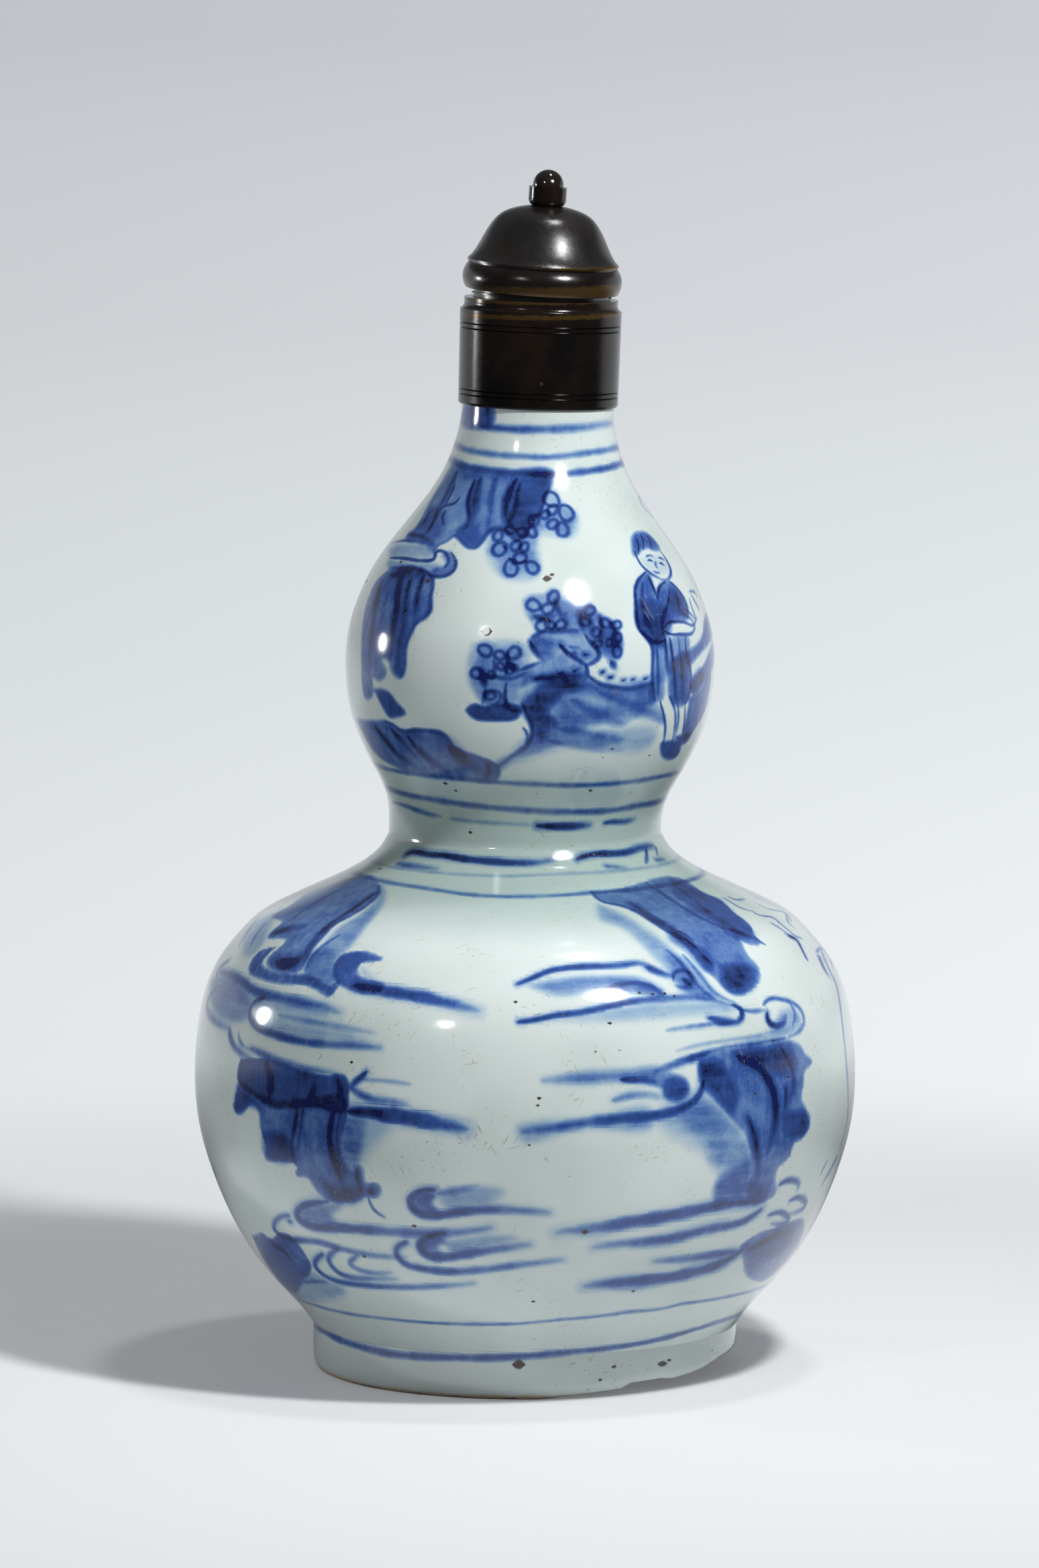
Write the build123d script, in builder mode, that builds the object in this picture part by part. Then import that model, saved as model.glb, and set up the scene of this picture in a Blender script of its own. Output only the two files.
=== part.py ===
from build123d import *
from math import cos, hypot, pi, sin
import os

# A double gourd vase with a screwed metal cap, in millimetres and degrees.
# The origin is the centre of the foot's underside, +Z is up and -Y faces the viewer.
# The lower half stands upright. The upper half was luted on with a slight lean, so the
# neck, its collar and the cap share a leaning frame, whose heights count from the waist.

# Porcelain, lower half
wall = 5.5
foot_radius = 61.2
foot_rim_step = 1.4
foot_height = 13.0
foot_rounding = 4.5
foot_ring_width = 7.5
foot_recess = 10.0
foot_recess_draft = 1.5
base_thickness = 8.0
lower_bulb_radius = 95.2
lower_bulb_height = 85.0
waist_radius = 39.2
waist_height = 156.5
waist_band = 1.5

# Porcelain, upper half
upper_lean = 1.75
upper_bulb_radius = 53.05
upper_bulb_rise = 48.0
neck_radius = 21.8
neck_rise = 121.3
stub_radius = 20.4
stub_length = 20.0

# Metal collar, the cement under it and its pin
collar_height = 30.7
collar_wall = 1.8
collar_taper = 0.25
collar_foot_rounding = 0.9
cement_gap = 0.7
cement_bed = 0.5
lip_radius = 22.0
lip_depth = 1.2
cavetto_depth = 3.3
groove_depth = 0.35
groove_width = 0.5
groove_spacing = 1.45
upper_groove_drop = 7.2
lower_groove_climb = 3.1
pin_radius = 0.5
pin_dimple_radius = 0.22
pin_dimple_depth = 0.3
pin_bite = 0.3
pin_climb = 7.6
pin_turn = 8.5

# Screw thread
thread_pitch = 1.25
thread_depth = 0.65
thread_base = 0.7
thread_tip = 0.35
thread_play = 0.2
thread_bite = 0.1
thread_start = 0.6
nipple_reach = 6.45
nipple_wall = 2.15
nipple_shank_radius = 20.05
nipple_slip = 0.05
flange_thickness = 1.6
flange_slip = 0.1
turns_held_back = 1.5

# Cap, askew on its own thread
cap_gap = 2.2
cap_lean = 1.9
cap_nod = 1.5
bead_height = 7.2
bead_radius = 22.8
bead_foot_radius = 21.9
bead_top_radius = 21.4
bead_widest = 3.6
solder_gap = 0.05
ring_wall = 0.7
ring_foot_gap = 1.0
groove_height = 0.5
ring_lip_width = 3.2
seal_thickness = 0.9
seal_play = 0.1
seal_side_play = 0.5
closing_travel = 1.0
rest_margin = 0.2
dome_radius = 21.6
dome_edge = 0.6
dome_height = 16.6
dome_wall = 1.2

# Finial on the dome
cup_radius = 5.4
cup_foot_radius = 4.2
cup_height = 5.4
cup_straight = 3.3
cup_floor = 1.4
ball_radius = 4.4
ball_stand = 0.5
ball_play = 0.1
shank_radius = 1.5
shank_play = 0.05
washer_radius = 3.4
washer_thickness = 0.8
rivet_radius = 2.3
rivet_height = 0.9

overrun = 3.0

# Shares of the way from one named radius or height to the next, along each outline.
# Each pair is the share of the radius and the share of the height.
foot_to_bulb_shares = (
    (0.105, 0.069),
    (0.322, 0.181),
    (0.623, 0.375),
    (0.839, 0.597),
    (0.959, 0.792),
)
bulb_to_waist_shares = (
    (0.986, 0.186),
    (0.943, 0.357),
    (0.879, 0.471),
    (0.782, 0.571),
    (0.693, 0.643),
    (0.557, 0.707),
    (0.384, 0.771),
    (0.232, 0.829),
    (0.114, 0.886),
    (0.040, 0.943),
)
waist_to_bulb_shares = (
    (0.029, 0.097),
    (0.177, 0.226),
    (0.415, 0.355),
    (0.635, 0.484),
    (0.816, 0.613),
    (0.957, 0.806),
)
bulb_to_neck_shares = (
    (0.971, 0.123),
    (0.883, 0.246),
    (0.746, 0.368),
    (0.549, 0.491),
    (0.333, 0.614),
    (0.205, 0.696),
    (0.112, 0.778),
    (0.048, 0.859),
    (0.010, 0.941),
)
# Shares of the dome's radius, and of its height above the edge of its skirt.
dome_shares = (
    (0.966, 0.045),
    (0.903, 0.165),
    (0.847, 0.310),
    (0.778, 0.500),
    (0.699, 0.675),
    (0.597, 0.820),
    (0.472, 0.910),
    (0.315, 0.970),
)

half = 0.5
bore_steps = 14

# Frames that the upper half and the cap are turned about
neck_frame = Plane.XY.offset(waist_height).rotated((0, upper_lean, 0))
collar_top_rise = neck_rise + collar_height
cap_frame = neck_frame.offset(collar_top_rise + cap_gap).rotated((cap_nod, cap_lean, 0))


def profile_plane(frame):
    # The half plane through a frame's axis: x is the radius and y the height.
    return Plane(origin=frame.origin, x_dir=frame.x_dir, z_dir=-frame.y_dir)


def turning_axis(frame):
    return Axis(frame.origin, frame.z_dir)


def between(shares, radius_from, radius_to, height_from, height_to):
    # Outline points at the given shares of the way from one place to another.
    points = []
    for radius_share, height_share in shares:
        radius = radius_from + radius_share * (radius_to - radius_from)
        height = height_from + height_share * (height_to - height_from)
        points.append((radius, height))
    return points


def inset(points, depth):
    # Each point moved inwards, square to the line through its two neighbours.
    moved = []
    for before, point, after in zip(points, points[1:], points[2:]):
        run = after[0] - before[0]
        climb = after[1] - before[1]
        length = hypot(run, climb)
        moved.append((point[0] - depth * climb / length, point[1] + depth * run / length))
    return moved


def outline_through(points):
    # One smooth outline through all the points.
    with BuildLine() as outline:
        Spline(*points)
    return outline.line


def bore_points(outline, steps):
    # Points at even steps down an outline, moved into the porcelain by its wall.
    points = []
    for step in range(steps - 1, 0, -1):
        place = outline @ (step / steps)
        along = outline % (step / steps)
        points.append((place.X - wall * along.Y, place.Y + wall * along.X))
    return points


def screw_ridge(frame, root_radius, crest_radius, turns):
    # One helical ridge with flat sides, right-handed, starting on the frame's x axis.
    with BuildPart() as ridge:
        with BuildLine() as path:
            Helix(pitch=thread_pitch, height=turns * thread_pitch, radius=root_radius)
        spine = path.line
        with BuildSketch(Plane(origin=spine @ 0, x_dir=(1, 0, 0), z_dir=spine % 0)):
            with BuildLine():
                Polyline(
                    (0, -half * thread_base),
                    (crest_radius - root_radius, -half * thread_tip),
                    (crest_radius - root_radius, half * thread_tip),
                    (0, half * thread_base),
                    close=True,
                )
            make_face()
        sweep(path=spine, is_frenet=True)
    return ridge.part.moved(frame.location)


# Outlines of the porcelain
foot_rim_radius = foot_radius - foot_rim_step
foot_to_bulb = between(
    foot_to_bulb_shares, foot_radius, lower_bulb_radius, foot_height, lower_bulb_height
)
bulb_to_waist = between(
    bulb_to_waist_shares,
    waist_radius,
    lower_bulb_radius,
    lower_bulb_height,
    waist_height - waist_band,
)
lower_outer = (
    [(foot_radius, foot_height)]
    + foot_to_bulb
    + [(lower_bulb_radius, lower_bulb_height)]
    + bulb_to_waist
    + [(waist_radius, waist_height - waist_band)]
)
waist_to_bulb = between(
    waist_to_bulb_shares, waist_radius, upper_bulb_radius, waist_band, upper_bulb_rise
)
bulb_to_neck = between(
    bulb_to_neck_shares, neck_radius, upper_bulb_radius, upper_bulb_rise, neck_rise
)
upper_outer = (
    [(waist_radius, waist_band)]
    + waist_to_bulb
    + [(upper_bulb_radius, upper_bulb_rise)]
    + bulb_to_neck
    + [(neck_radius, neck_rise)]
)
floor_height = foot_recess + base_thickness
lower_outline = outline_through(lower_outer)
upper_outline = outline_through(upper_outer)
lower_bore = [
    point for point in bore_points(lower_outline, bore_steps) if point[1] > floor_height + wall
]
upper_bore = bore_points(upper_outline, bore_steps)
waist_bore = waist_radius - wall
neck_bore = neck_radius - wall
mitre_plane = Plane.XY.offset(waist_height).rotated((0, half * upper_lean, 0))

# Lower half of the body, with its foot ring and recessed base
with BuildPart() as lower_half:
    with BuildSketch(profile_plane(Plane.XY)):
        with BuildLine():
            ring_inner = foot_rim_radius - foot_ring_width
            Polyline(
                (0, floor_height),
                (0, foot_recess),
                (ring_inner - foot_recess_draft, foot_recess),
                (ring_inner, 0),
                (foot_rim_radius, 0),
            )
            ThreePointArc(
                (foot_rim_radius, 0),
                (
                    foot_rim_radius + (foot_radius - foot_rim_radius) * sin(pi / 4),
                    foot_rounding * (1 - cos(pi / 4)),
                ),
                (foot_radius, foot_rounding),
            )
            Line((foot_radius, foot_rounding), (foot_radius, foot_height))
            add(lower_outline)
            Polyline(
                (waist_radius, waist_height - waist_band),
                (waist_radius, waist_height + overrun),
                (waist_bore, waist_height + overrun),
                (waist_bore, waist_height - waist_band),
            )
            Spline(
                (waist_bore, waist_height - waist_band),
                *lower_bore,
                (foot_radius - wall, floor_height),
            )
            Line((foot_radius - wall, floor_height), (0, floor_height))
        make_face()
    revolve(axis=turning_axis(Plane.XY))
    split(bisect_by=mitre_plane, keep=Keep.BOTTOM)

# Upper half of the body, up to the ground stub of its cut neck
with BuildPart() as upper_half:
    with BuildSketch(profile_plane(neck_frame)):
        with BuildLine():
            Polyline(
                (waist_bore, waist_band),
                (waist_bore, -overrun),
                (waist_radius, -overrun),
                (waist_radius, waist_band),
            )
            add(upper_outline)
            Polyline(
                (neck_radius, neck_rise),
                (stub_radius, neck_rise),
                (stub_radius, neck_rise + stub_length),
                (neck_bore, neck_rise + stub_length),
                (neck_bore, neck_rise),
            )
            Spline((neck_bore, neck_rise), *upper_bore, (waist_bore, waist_band))
        make_face()
    revolve(axis=turning_axis(neck_frame))
    split(bisect_by=mitre_plane, keep=Keep.TOP)

# The two halves are luted at the waist and fired as one piece
with BuildPart() as porcelain_body:
    add(lower_half.part)
    add(upper_half.part)

# Collar over the neck stub
collar_bore = stub_radius + cement_gap
collar_radius = collar_bore + collar_wall
flange_rise = neck_rise + stub_length + cement_bed
shoulder_rise = flange_rise + flange_thickness
mouth_radius = nipple_shank_radius + nipple_slip
collar_top_radius = collar_radius + collar_taper
cavetto_rise = collar_top_rise - cavetto_depth
groove_rises = (
    collar_top_rise - upper_groove_drop,
    collar_top_rise - upper_groove_drop - groove_spacing,
    neck_rise + lower_groove_climb,
    neck_rise + lower_groove_climb + groove_spacing,
)
pin_rise = neck_rise + pin_climb
pin_plane = neck_frame.offset(pin_rise).rotated((0, 0, pin_turn)).rotated((90, 0, 0))
with BuildPart() as collar:
    with BuildSketch(profile_plane(neck_frame)):
        with BuildLine():
            ThreePointArc(
                (collar_radius - collar_foot_rounding, neck_rise),
                (
                    collar_radius - collar_foot_rounding * (1 - sin(pi / 4)),
                    neck_rise + collar_foot_rounding * (1 - cos(pi / 4)),
                ),
                (collar_radius, neck_rise + collar_foot_rounding),
            )
            Polyline(
                (collar_radius, neck_rise + collar_foot_rounding),
                (collar_top_radius, cavetto_rise),
            )
            ThreePointArc(
                (collar_top_radius, cavetto_rise),
                (
                    lip_radius + (collar_top_radius - lip_radius) * (1 - sin(pi / 4)),
                    cavetto_rise + (cavetto_depth - lip_depth) * (1 - cos(pi / 4)),
                ),
                (lip_radius, collar_top_rise - lip_depth),
            )
            Polyline(
                (lip_radius, collar_top_rise - lip_depth),
                (lip_radius, collar_top_rise),
                (mouth_radius, collar_top_rise),
                (mouth_radius, shoulder_rise),
                (collar_bore, shoulder_rise),
                (collar_bore, neck_rise),
                (collar_radius - collar_foot_rounding, neck_rise),
            )
        make_face()
    revolve(axis=turning_axis(neck_frame))
    with BuildSketch(profile_plane(neck_frame)):
        for groove_rise in groove_rises:
            height_share = (groove_rise - neck_rise) / (cavetto_rise - neck_rise)
            wall_radius = collar_radius + collar_taper * height_share
            with BuildLine():
                Polyline(
                    (wall_radius + overrun, groove_rise - half * groove_width),
                    (wall_radius, groove_rise - half * groove_width),
                    (wall_radius - groove_depth, groove_rise),
                    (wall_radius, groove_rise + half * groove_width),
                    (wall_radius + overrun, groove_rise + half * groove_width),
                    close=True,
                )
            make_face()
    revolve(axis=turning_axis(neck_frame), mode=Mode.SUBTRACT)
    with BuildSketch(pin_plane.offset(collar_bore - overrun)):
        Circle(pin_radius)
    extrude(amount=collar_wall + overrun + overrun, mode=Mode.SUBTRACT)

# Cement between the stub and the collar, turned in over the cut rim
with BuildPart() as neck_cement:
    with BuildSketch(profile_plane(neck_frame)):
        with BuildLine():
            Polyline(
                (stub_radius, neck_rise),
                (collar_bore, neck_rise),
                (collar_bore, flange_rise),
                (neck_bore, flange_rise),
                (neck_bore, neck_rise + stub_length),
                (stub_radius, neck_rise + stub_length),
                close=True,
            )
        make_face()
    revolve(axis=turning_axis(neck_frame))
    with BuildSketch(pin_plane.offset(collar_bore - pin_bite)):
        Circle(pin_radius)
    extrude(amount=pin_bite + overrun, mode=Mode.SUBTRACT)

# Pin through the collar into the cement, with a punched dimple in its face
pin_height_share = pin_climb / (cavetto_rise - neck_rise)
pin_face_radius = collar_radius + collar_taper * pin_height_share
with BuildPart() as set_pin:
    with BuildSketch(pin_plane.offset(collar_bore - pin_bite)):
        Circle(pin_radius)
    extrude(amount=pin_face_radius - collar_bore + pin_bite)
    with BuildSketch(pin_plane.offset(pin_face_radius - pin_dimple_depth)):
        Circle(pin_dimple_radius)
    extrude(amount=pin_dimple_depth, mode=Mode.SUBTRACT)

# Threaded nipple, trapped by its flange under the collar's shoulder
core_radius = nipple_shank_radius - nipple_slip - thread_depth
crest_radius = core_radius + thread_depth
nipple_bore = core_radius - nipple_wall
nipple_top_rise = collar_top_rise + nipple_reach
male_turns = (nipple_reach - 2 * thread_start) / thread_pitch
male_ridge = screw_ridge(
    neck_frame.offset(collar_top_rise + thread_start),
    core_radius - thread_bite,
    crest_radius,
    male_turns,
)
with BuildPart() as screw_nipple:
    with BuildSketch(profile_plane(neck_frame)):
        with BuildLine():
            Polyline(
                (nipple_bore, flange_rise),
                (collar_bore - flange_slip, flange_rise),
                (collar_bore - flange_slip, shoulder_rise),
                (nipple_shank_radius, shoulder_rise),
                (nipple_shank_radius, collar_top_rise),
                (core_radius, collar_top_rise),
                (core_radius, nipple_top_rise),
                (nipple_bore, nipple_top_rise),
                close=True,
            )
        make_face()
    revolve(axis=turning_axis(neck_frame))
    add(male_ridge)

# Heights inside the cap, counted along the neck's own axis
seal_rise = nipple_top_rise + closing_travel + rest_margin
ring_lip_rise = seal_rise + seal_thickness + seal_play
ring_foot_rise = collar_top_rise + cap_gap + ring_foot_gap
thread_bore = crest_radius + thread_play
ring_radius = thread_bore + ring_wall
bead_bore = ring_radius + solder_gap
ring_top = bead_height + groove_height

# Thread ring: its outside is square to the cap and its bore to the neck
female_turns = 1 + turns_held_back
female_start = thread_start + (2 + half) * thread_pitch
female_ridge = screw_ridge(
    neck_frame.offset(collar_top_rise + female_start),
    thread_bore + thread_bite,
    core_radius + thread_play,
    female_turns,
)
with BuildPart() as cap_thread_ring:
    with BuildSketch(cap_frame.offset(-overrun)):
        Circle(ring_radius)
    extrude(amount=ring_top + overrun)
    split(bisect_by=neck_frame.offset(ring_foot_rise), keep=Keep.TOP)
    with BuildSketch(neck_frame.offset(collar_top_rise)):
        Circle(thread_bore)
    extrude(amount=ring_lip_rise - collar_top_rise, mode=Mode.SUBTRACT)
    with BuildSketch(neck_frame.offset(collar_top_rise)):
        Circle(thread_bore - ring_lip_width)
    extrude(amount=ring_top + overrun + cap_gap, mode=Mode.SUBTRACT)
    add(female_ridge)

# Bead moulding soldered round the thread ring
with BuildPart() as cap_rim_ring:
    with BuildSketch(profile_plane(cap_frame)):
        with BuildLine():
            Line((bead_bore, 0), (bead_foot_radius, 0))
            ThreePointArc(
                (bead_foot_radius, 0), (bead_radius, bead_widest), (bead_top_radius, bead_height)
            )
            Polyline(
                (bead_top_radius, bead_height), (bead_bore, bead_height), (bead_bore, 0)
            )
        make_face()
    revolve(axis=turning_axis(cap_frame))

# Dome on top of the thread ring
dome_foot = ring_top
dome_edge_top = dome_foot + dome_edge
dome_top = dome_foot + dome_height
dome_points = [
    (radius_share * dome_radius, dome_edge_top + height_share * (dome_top - dome_edge_top))
    for radius_share, height_share in dome_shares
]
dome_outer = [(dome_radius, dome_edge_top)] + dome_points + [(cup_foot_radius, dome_top)]
dome_inner = inset(dome_outer, dome_wall)[1:]
stud_bore = shank_radius + shank_play
with BuildPart() as cap_dome:
    with BuildSketch(profile_plane(cap_frame)):
        with BuildLine():
            inner_foot = (dome_inner[0][0], dome_foot)
            Polyline(inner_foot, (dome_radius, dome_foot), (dome_radius, dome_edge_top))
            Spline(*dome_outer)
            Polyline(
                (cup_foot_radius, dome_top),
                (stud_bore, dome_top),
                (stud_bore, dome_top - dome_wall),
                (washer_radius, dome_top - dome_wall),
            )
            Spline((washer_radius, dome_top - dome_wall), *reversed(dome_inner))
            Line(dome_inner[0], inner_foot)
        make_face()
    revolve(axis=turning_axis(cap_frame))

# Loose sealing disc between the nipple's rim and the ring's lip
with BuildPart() as seal_disc:
    with BuildSketch(neck_frame.offset(seal_rise)):
        Circle(core_radius + thread_play - seal_side_play)
    extrude(amount=seal_thickness)

# Finial: cup, ball with its shank, and the burr washer that it is riveted over
cup_top = dome_top + cup_height
ball_centre = cup_top + ball_stand
cup_bore = ball_radius + ball_play
cup_seat = dome_top + cup_floor
with BuildPart() as finial_cup:
    with BuildSketch(profile_plane(cap_frame)):
        with BuildLine():
            Line((stud_bore, dome_top), (cup_foot_radius, dome_top))
            ThreePointArc(
                (cup_foot_radius, dome_top),
                (
                    cup_foot_radius + (cup_radius - cup_foot_radius) * sin(pi / 4),
                    dome_top + (cup_height - cup_straight) * (1 - cos(pi / 4)),
                ),
                (cup_radius, cup_top - cup_straight),
            )
            Polyline(
                (cup_radius, cup_top - cup_straight),
                (cup_radius, cup_top),
                (cup_bore, cup_top),
                (cup_bore, ball_centre - ball_stand - ball_play),
                (stud_bore, cup_seat),
                (stud_bore, dome_top),
            )
        make_face()
    revolve(axis=turning_axis(cap_frame))
    with Locations(cap_frame.offset(ball_centre).location):
        Sphere(cup_bore, mode=Mode.SUBTRACT)

rivet_base = dome_top - dome_wall - washer_thickness
shank_meets_ball = ball_centre - (ball_radius**2 - shank_radius**2) ** half
with BuildPart() as finial_ball:
    with BuildSketch(profile_plane(cap_frame)):
        with BuildLine():
            ThreePointArc(
                (0, rivet_base - rivet_height),
                (rivet_radius * cos(pi / 4), rivet_base - rivet_height * sin(pi / 4)),
                (rivet_radius, rivet_base),
            )
            Polyline(
                (rivet_radius, rivet_base),
                (shank_radius, rivet_base),
                (shank_radius, shank_meets_ball),
            )
            ThreePointArc(
                (shank_radius, shank_meets_ball),
                (ball_radius, ball_centre),
                (0, ball_centre + ball_radius),
            )
            Line((0, ball_centre + ball_radius), (0, rivet_base - rivet_height))
        make_face()
    revolve(axis=turning_axis(cap_frame))

with BuildPart() as finial_washer:
    with BuildSketch(cap_frame.offset(rivet_base)):
        Circle(washer_radius)
        Circle(stud_bore, mode=Mode.SUBTRACT)
    extrude(amount=washer_thickness)

sub_parts = {
    "porcelain_body": porcelain_body,
    "neck_cement": neck_cement,
    "collar": collar,
    "set_pin": set_pin,
    "screw_nipple": screw_nipple,
    "seal_disc": seal_disc,
    "cap_thread_ring": cap_thread_ring,
    "cap_rim_ring": cap_rim_ring,
    "cap_dome": cap_dome,
    "finial_cup": finial_cup,
    "finial_ball": finial_ball,
    "finial_washer": finial_washer,
}
os.makedirs("parts", exist_ok=True)
for name, sub_part in sub_parts.items():
    sub_part.part.label = name
    export_step(sub_part.part, f"parts/{name}.step")
    print(name, "volume", round(sub_part.part.volume), "mm3")
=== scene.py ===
import math

import bpy
import numpy as np
from mathutils import Matrix, Vector


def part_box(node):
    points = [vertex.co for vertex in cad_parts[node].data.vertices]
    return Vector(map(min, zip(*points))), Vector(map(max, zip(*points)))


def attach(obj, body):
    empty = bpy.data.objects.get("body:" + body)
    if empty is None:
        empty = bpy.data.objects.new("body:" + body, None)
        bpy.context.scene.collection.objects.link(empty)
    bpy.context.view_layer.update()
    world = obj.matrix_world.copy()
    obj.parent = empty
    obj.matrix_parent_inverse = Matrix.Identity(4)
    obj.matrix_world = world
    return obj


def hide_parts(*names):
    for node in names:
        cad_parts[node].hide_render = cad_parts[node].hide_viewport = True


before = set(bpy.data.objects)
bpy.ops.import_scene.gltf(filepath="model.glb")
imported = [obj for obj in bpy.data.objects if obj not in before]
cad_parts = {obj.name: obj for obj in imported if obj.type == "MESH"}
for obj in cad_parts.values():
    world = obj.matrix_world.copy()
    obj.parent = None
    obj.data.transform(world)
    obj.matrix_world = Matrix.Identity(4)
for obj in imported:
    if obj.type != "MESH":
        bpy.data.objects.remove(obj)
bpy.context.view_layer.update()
mm = 0.001

# The camera: where it stands, where it looks, and how long its lens is in pixels.
view = {
    "wide": 1568,
    "high": 2366,
    "focalPixels": 14090.0,
    "eye": (-1.58, -2667.3, 467.9),
    "target": (-1.58, 0.0, 168.7),
    "sensor": 36.0,
    "farthest": 60.0,
    "rounds": 60,
    "startShare": 0.7,
    "edgeShare": 0.998,
}
eyePlace = np.array(view["eye"])
ahead = np.array(view["target"]) - eyePlace
ahead = ahead / np.linalg.norm(ahead)
rightward = np.cross(ahead, (0.0, 0.0, 1.0))
rightward = rightward / np.linalg.norm(rightward)
upward = np.cross(rightward, ahead)


def addCamera():
    data = bpy.data.cameras.new("photoCamera")
    camera = bpy.data.objects.new("photoCamera", data)
    bpy.context.collection.objects.link(camera)
    data.sensor_fit = "VERTICAL"
    data.sensor_height = view["sensor"]
    data.lens = view["focalPixels"] / view["high"] * view["sensor"]
    data.clip_end = view["farthest"]
    camera.location = Vector(view["eye"]) * mm
    camera.rotation_mode = "QUATERNION"
    camera.rotation_quaternion = Vector(ahead).to_track_quat("-Z", "Y")
    bpy.context.scene.camera = camera


addCamera()
bpy.context.scene.view_settings.view_transform = "Standard"
print("camera ready")


def linear(*eightBit):
    # A colour written as it looks on screen, turned into the shader's own units.
    shares = [c / 255.0 / 12.92 if c < 11 else ((c / 255.0 + 0.055) / 1.055) ** 2.4 for c in eightBit]
    return tuple(shares) + (1.0,)


def smoothCurve(points, count, finer=8):
    # A natural cubic through the points, in even steps of length.
    points = np.array(points, dtype=float)
    gaps = np.linalg.norm(np.diff(points, axis=0), axis=1)
    knots = np.concatenate([[0.0], np.cumsum(gaps)])
    size = len(points)
    matrix = np.zeros((size, size))
    answer = np.zeros((size, 2))
    matrix[0, 0] = matrix[-1, -1] = 1.0
    for i in range(1, size - 1):
        matrix[i, i - 1] = gaps[i - 1]
        matrix[i, i] = 2.0 * (gaps[i - 1] + gaps[i])
        matrix[i, i + 1] = gaps[i]
        after = (points[i + 1] - points[i]) / gaps[i]
        before = (points[i] - points[i - 1]) / gaps[i - 1]
        answer[i] = 6.0 * (after - before)
    bend = np.linalg.solve(matrix, answer)
    along = np.linspace(0.0, knots[-1], count * finer)
    piece = np.clip(np.searchsorted(knots, along, side="right") - 1, 0, size - 2)
    gap = gaps[piece][:, None]
    low = (knots[piece + 1] - along)[:, None]
    high = (along - knots[piece])[:, None]
    fine = (bend[piece] * low**3 + bend[piece + 1] * high**3) / (6.0 * gap)
    fine += (points[piece] / gap - bend[piece] * gap / 6.0) * low
    fine += (points[piece + 1] / gap - bend[piece + 1] * gap / 6.0) * high
    steps = np.concatenate([[0.0], np.cumsum(np.linalg.norm(np.diff(fine, axis=0), axis=1))])
    even = np.linspace(0.0, steps[-1], count)
    return np.stack([np.interp(even, steps, fine[:, 0]), np.interp(even, steps, fine[:, 1])], axis=1)


def movedIn(points, depth):
    # The same outline, moved square into the wall.
    run = np.gradient(points[:, 0])
    climb = np.gradient(points[:, 1])
    length = np.hypot(run, climb)
    return np.stack([points[:, 0] - depth * climb / length, points[:, 1] + depth * run / length], axis=1)


porcelain = {
    "wall": 5.5,
    "waistHeight": 156.5,
    "waistRadius": 39.2,
    "lean": 1.75,
    "frontShare": 0.4,
    "inset": 0.9998,
    "weld": 0.02,
    "slack": 0.4,
    "near": 0.01,
    "smoothAngle": 32.0,
    "skinFiner": 4,
}
lowerHalf = {
    "outline": [
        (61.2, 13.0), (64.8, 18.0), (72.2, 26.0), (82.4, 40.0), (89.7, 56.0), (93.8, 70.0), (95.2, 85.0),
        (94.4, 98.0), (92.0, 110.0), (88.4, 118.0), (83.0, 125.0), (78.0, 130.0), (70.4, 134.5), (60.7, 139.0),
        (52.2, 143.0), (45.6, 147.0), (41.4, 151.0), (39.2, 155.0),
    ],
    "outerRows": 176,
    "footRows": 14,
    "innerRows": 15,
    "columns": 446,
    "footRadius": 61.2,
    "rimRadius": 59.8,
    "rimRounding": 4.5,
    "ringInner": 52.3,
    "recessRadius": 50.8,
    "recessMiddle": 25.0,
    "recess": 10.0,
    "floor": 18.0,
    "floorMiddle": 28.0,
    "rimShares": (0.25, 0.5, 0.75, 1.0),
    "rimWear": 0.5,
}
upperHalf = {
    "outline": [
        (39.2, 1.5), (39.6, 6.0), (41.65, 12.0), (44.95, 18.0), (48.0, 24.0), (50.5, 30.0), (52.45, 39.0),
        (53.05, 48.0), (52.15, 57.0), (49.4, 66.0), (45.1, 75.0), (38.95, 84.0), (32.2, 93.0), (28.2, 99.0),
        (25.3, 105.0), (23.3, 111.0), (22.1, 117.0), (21.8, 121.3),
    ],
    "outerRows": 222,
    "innerRows": 15,
    "columns": 402,
    "stubRadius": 20.4,
    "neckRise": 121.3,
    "stubTop": 141.3,
    "neckBore": 16.3,
}
# The foot's rim rises off the table on the right. Degrees from the front, and millimetres.
footLift = {
    "degrees": [4.0, 11.0, 27.0, 30.0, 40.0, 44.0, 57.0, 67.0, 84.0, 105.0, 135.0],
    "rise": [0.0, 0.7, 1.9, 3.3, 3.6, 3.0, 3.9, 5.4, 5.8, 4.2, 0.0],
    "reach": 9.5,
    "clearOfRecess": 0.2,
}
leanTurn = Matrix.Rotation(math.radians(porcelain["lean"]), 4, "Y")
leanTurn = Matrix.Translation((0, 0, porcelain["waistHeight"])) @ leanTurn
upright = Matrix.Identity(4)


def clearSelection():
    if bpy.context.object and bpy.context.object.mode != "OBJECT":
        bpy.ops.object.mode_set(mode="OBJECT")
    bpy.ops.object.select_all(action="DESELECT")


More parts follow.
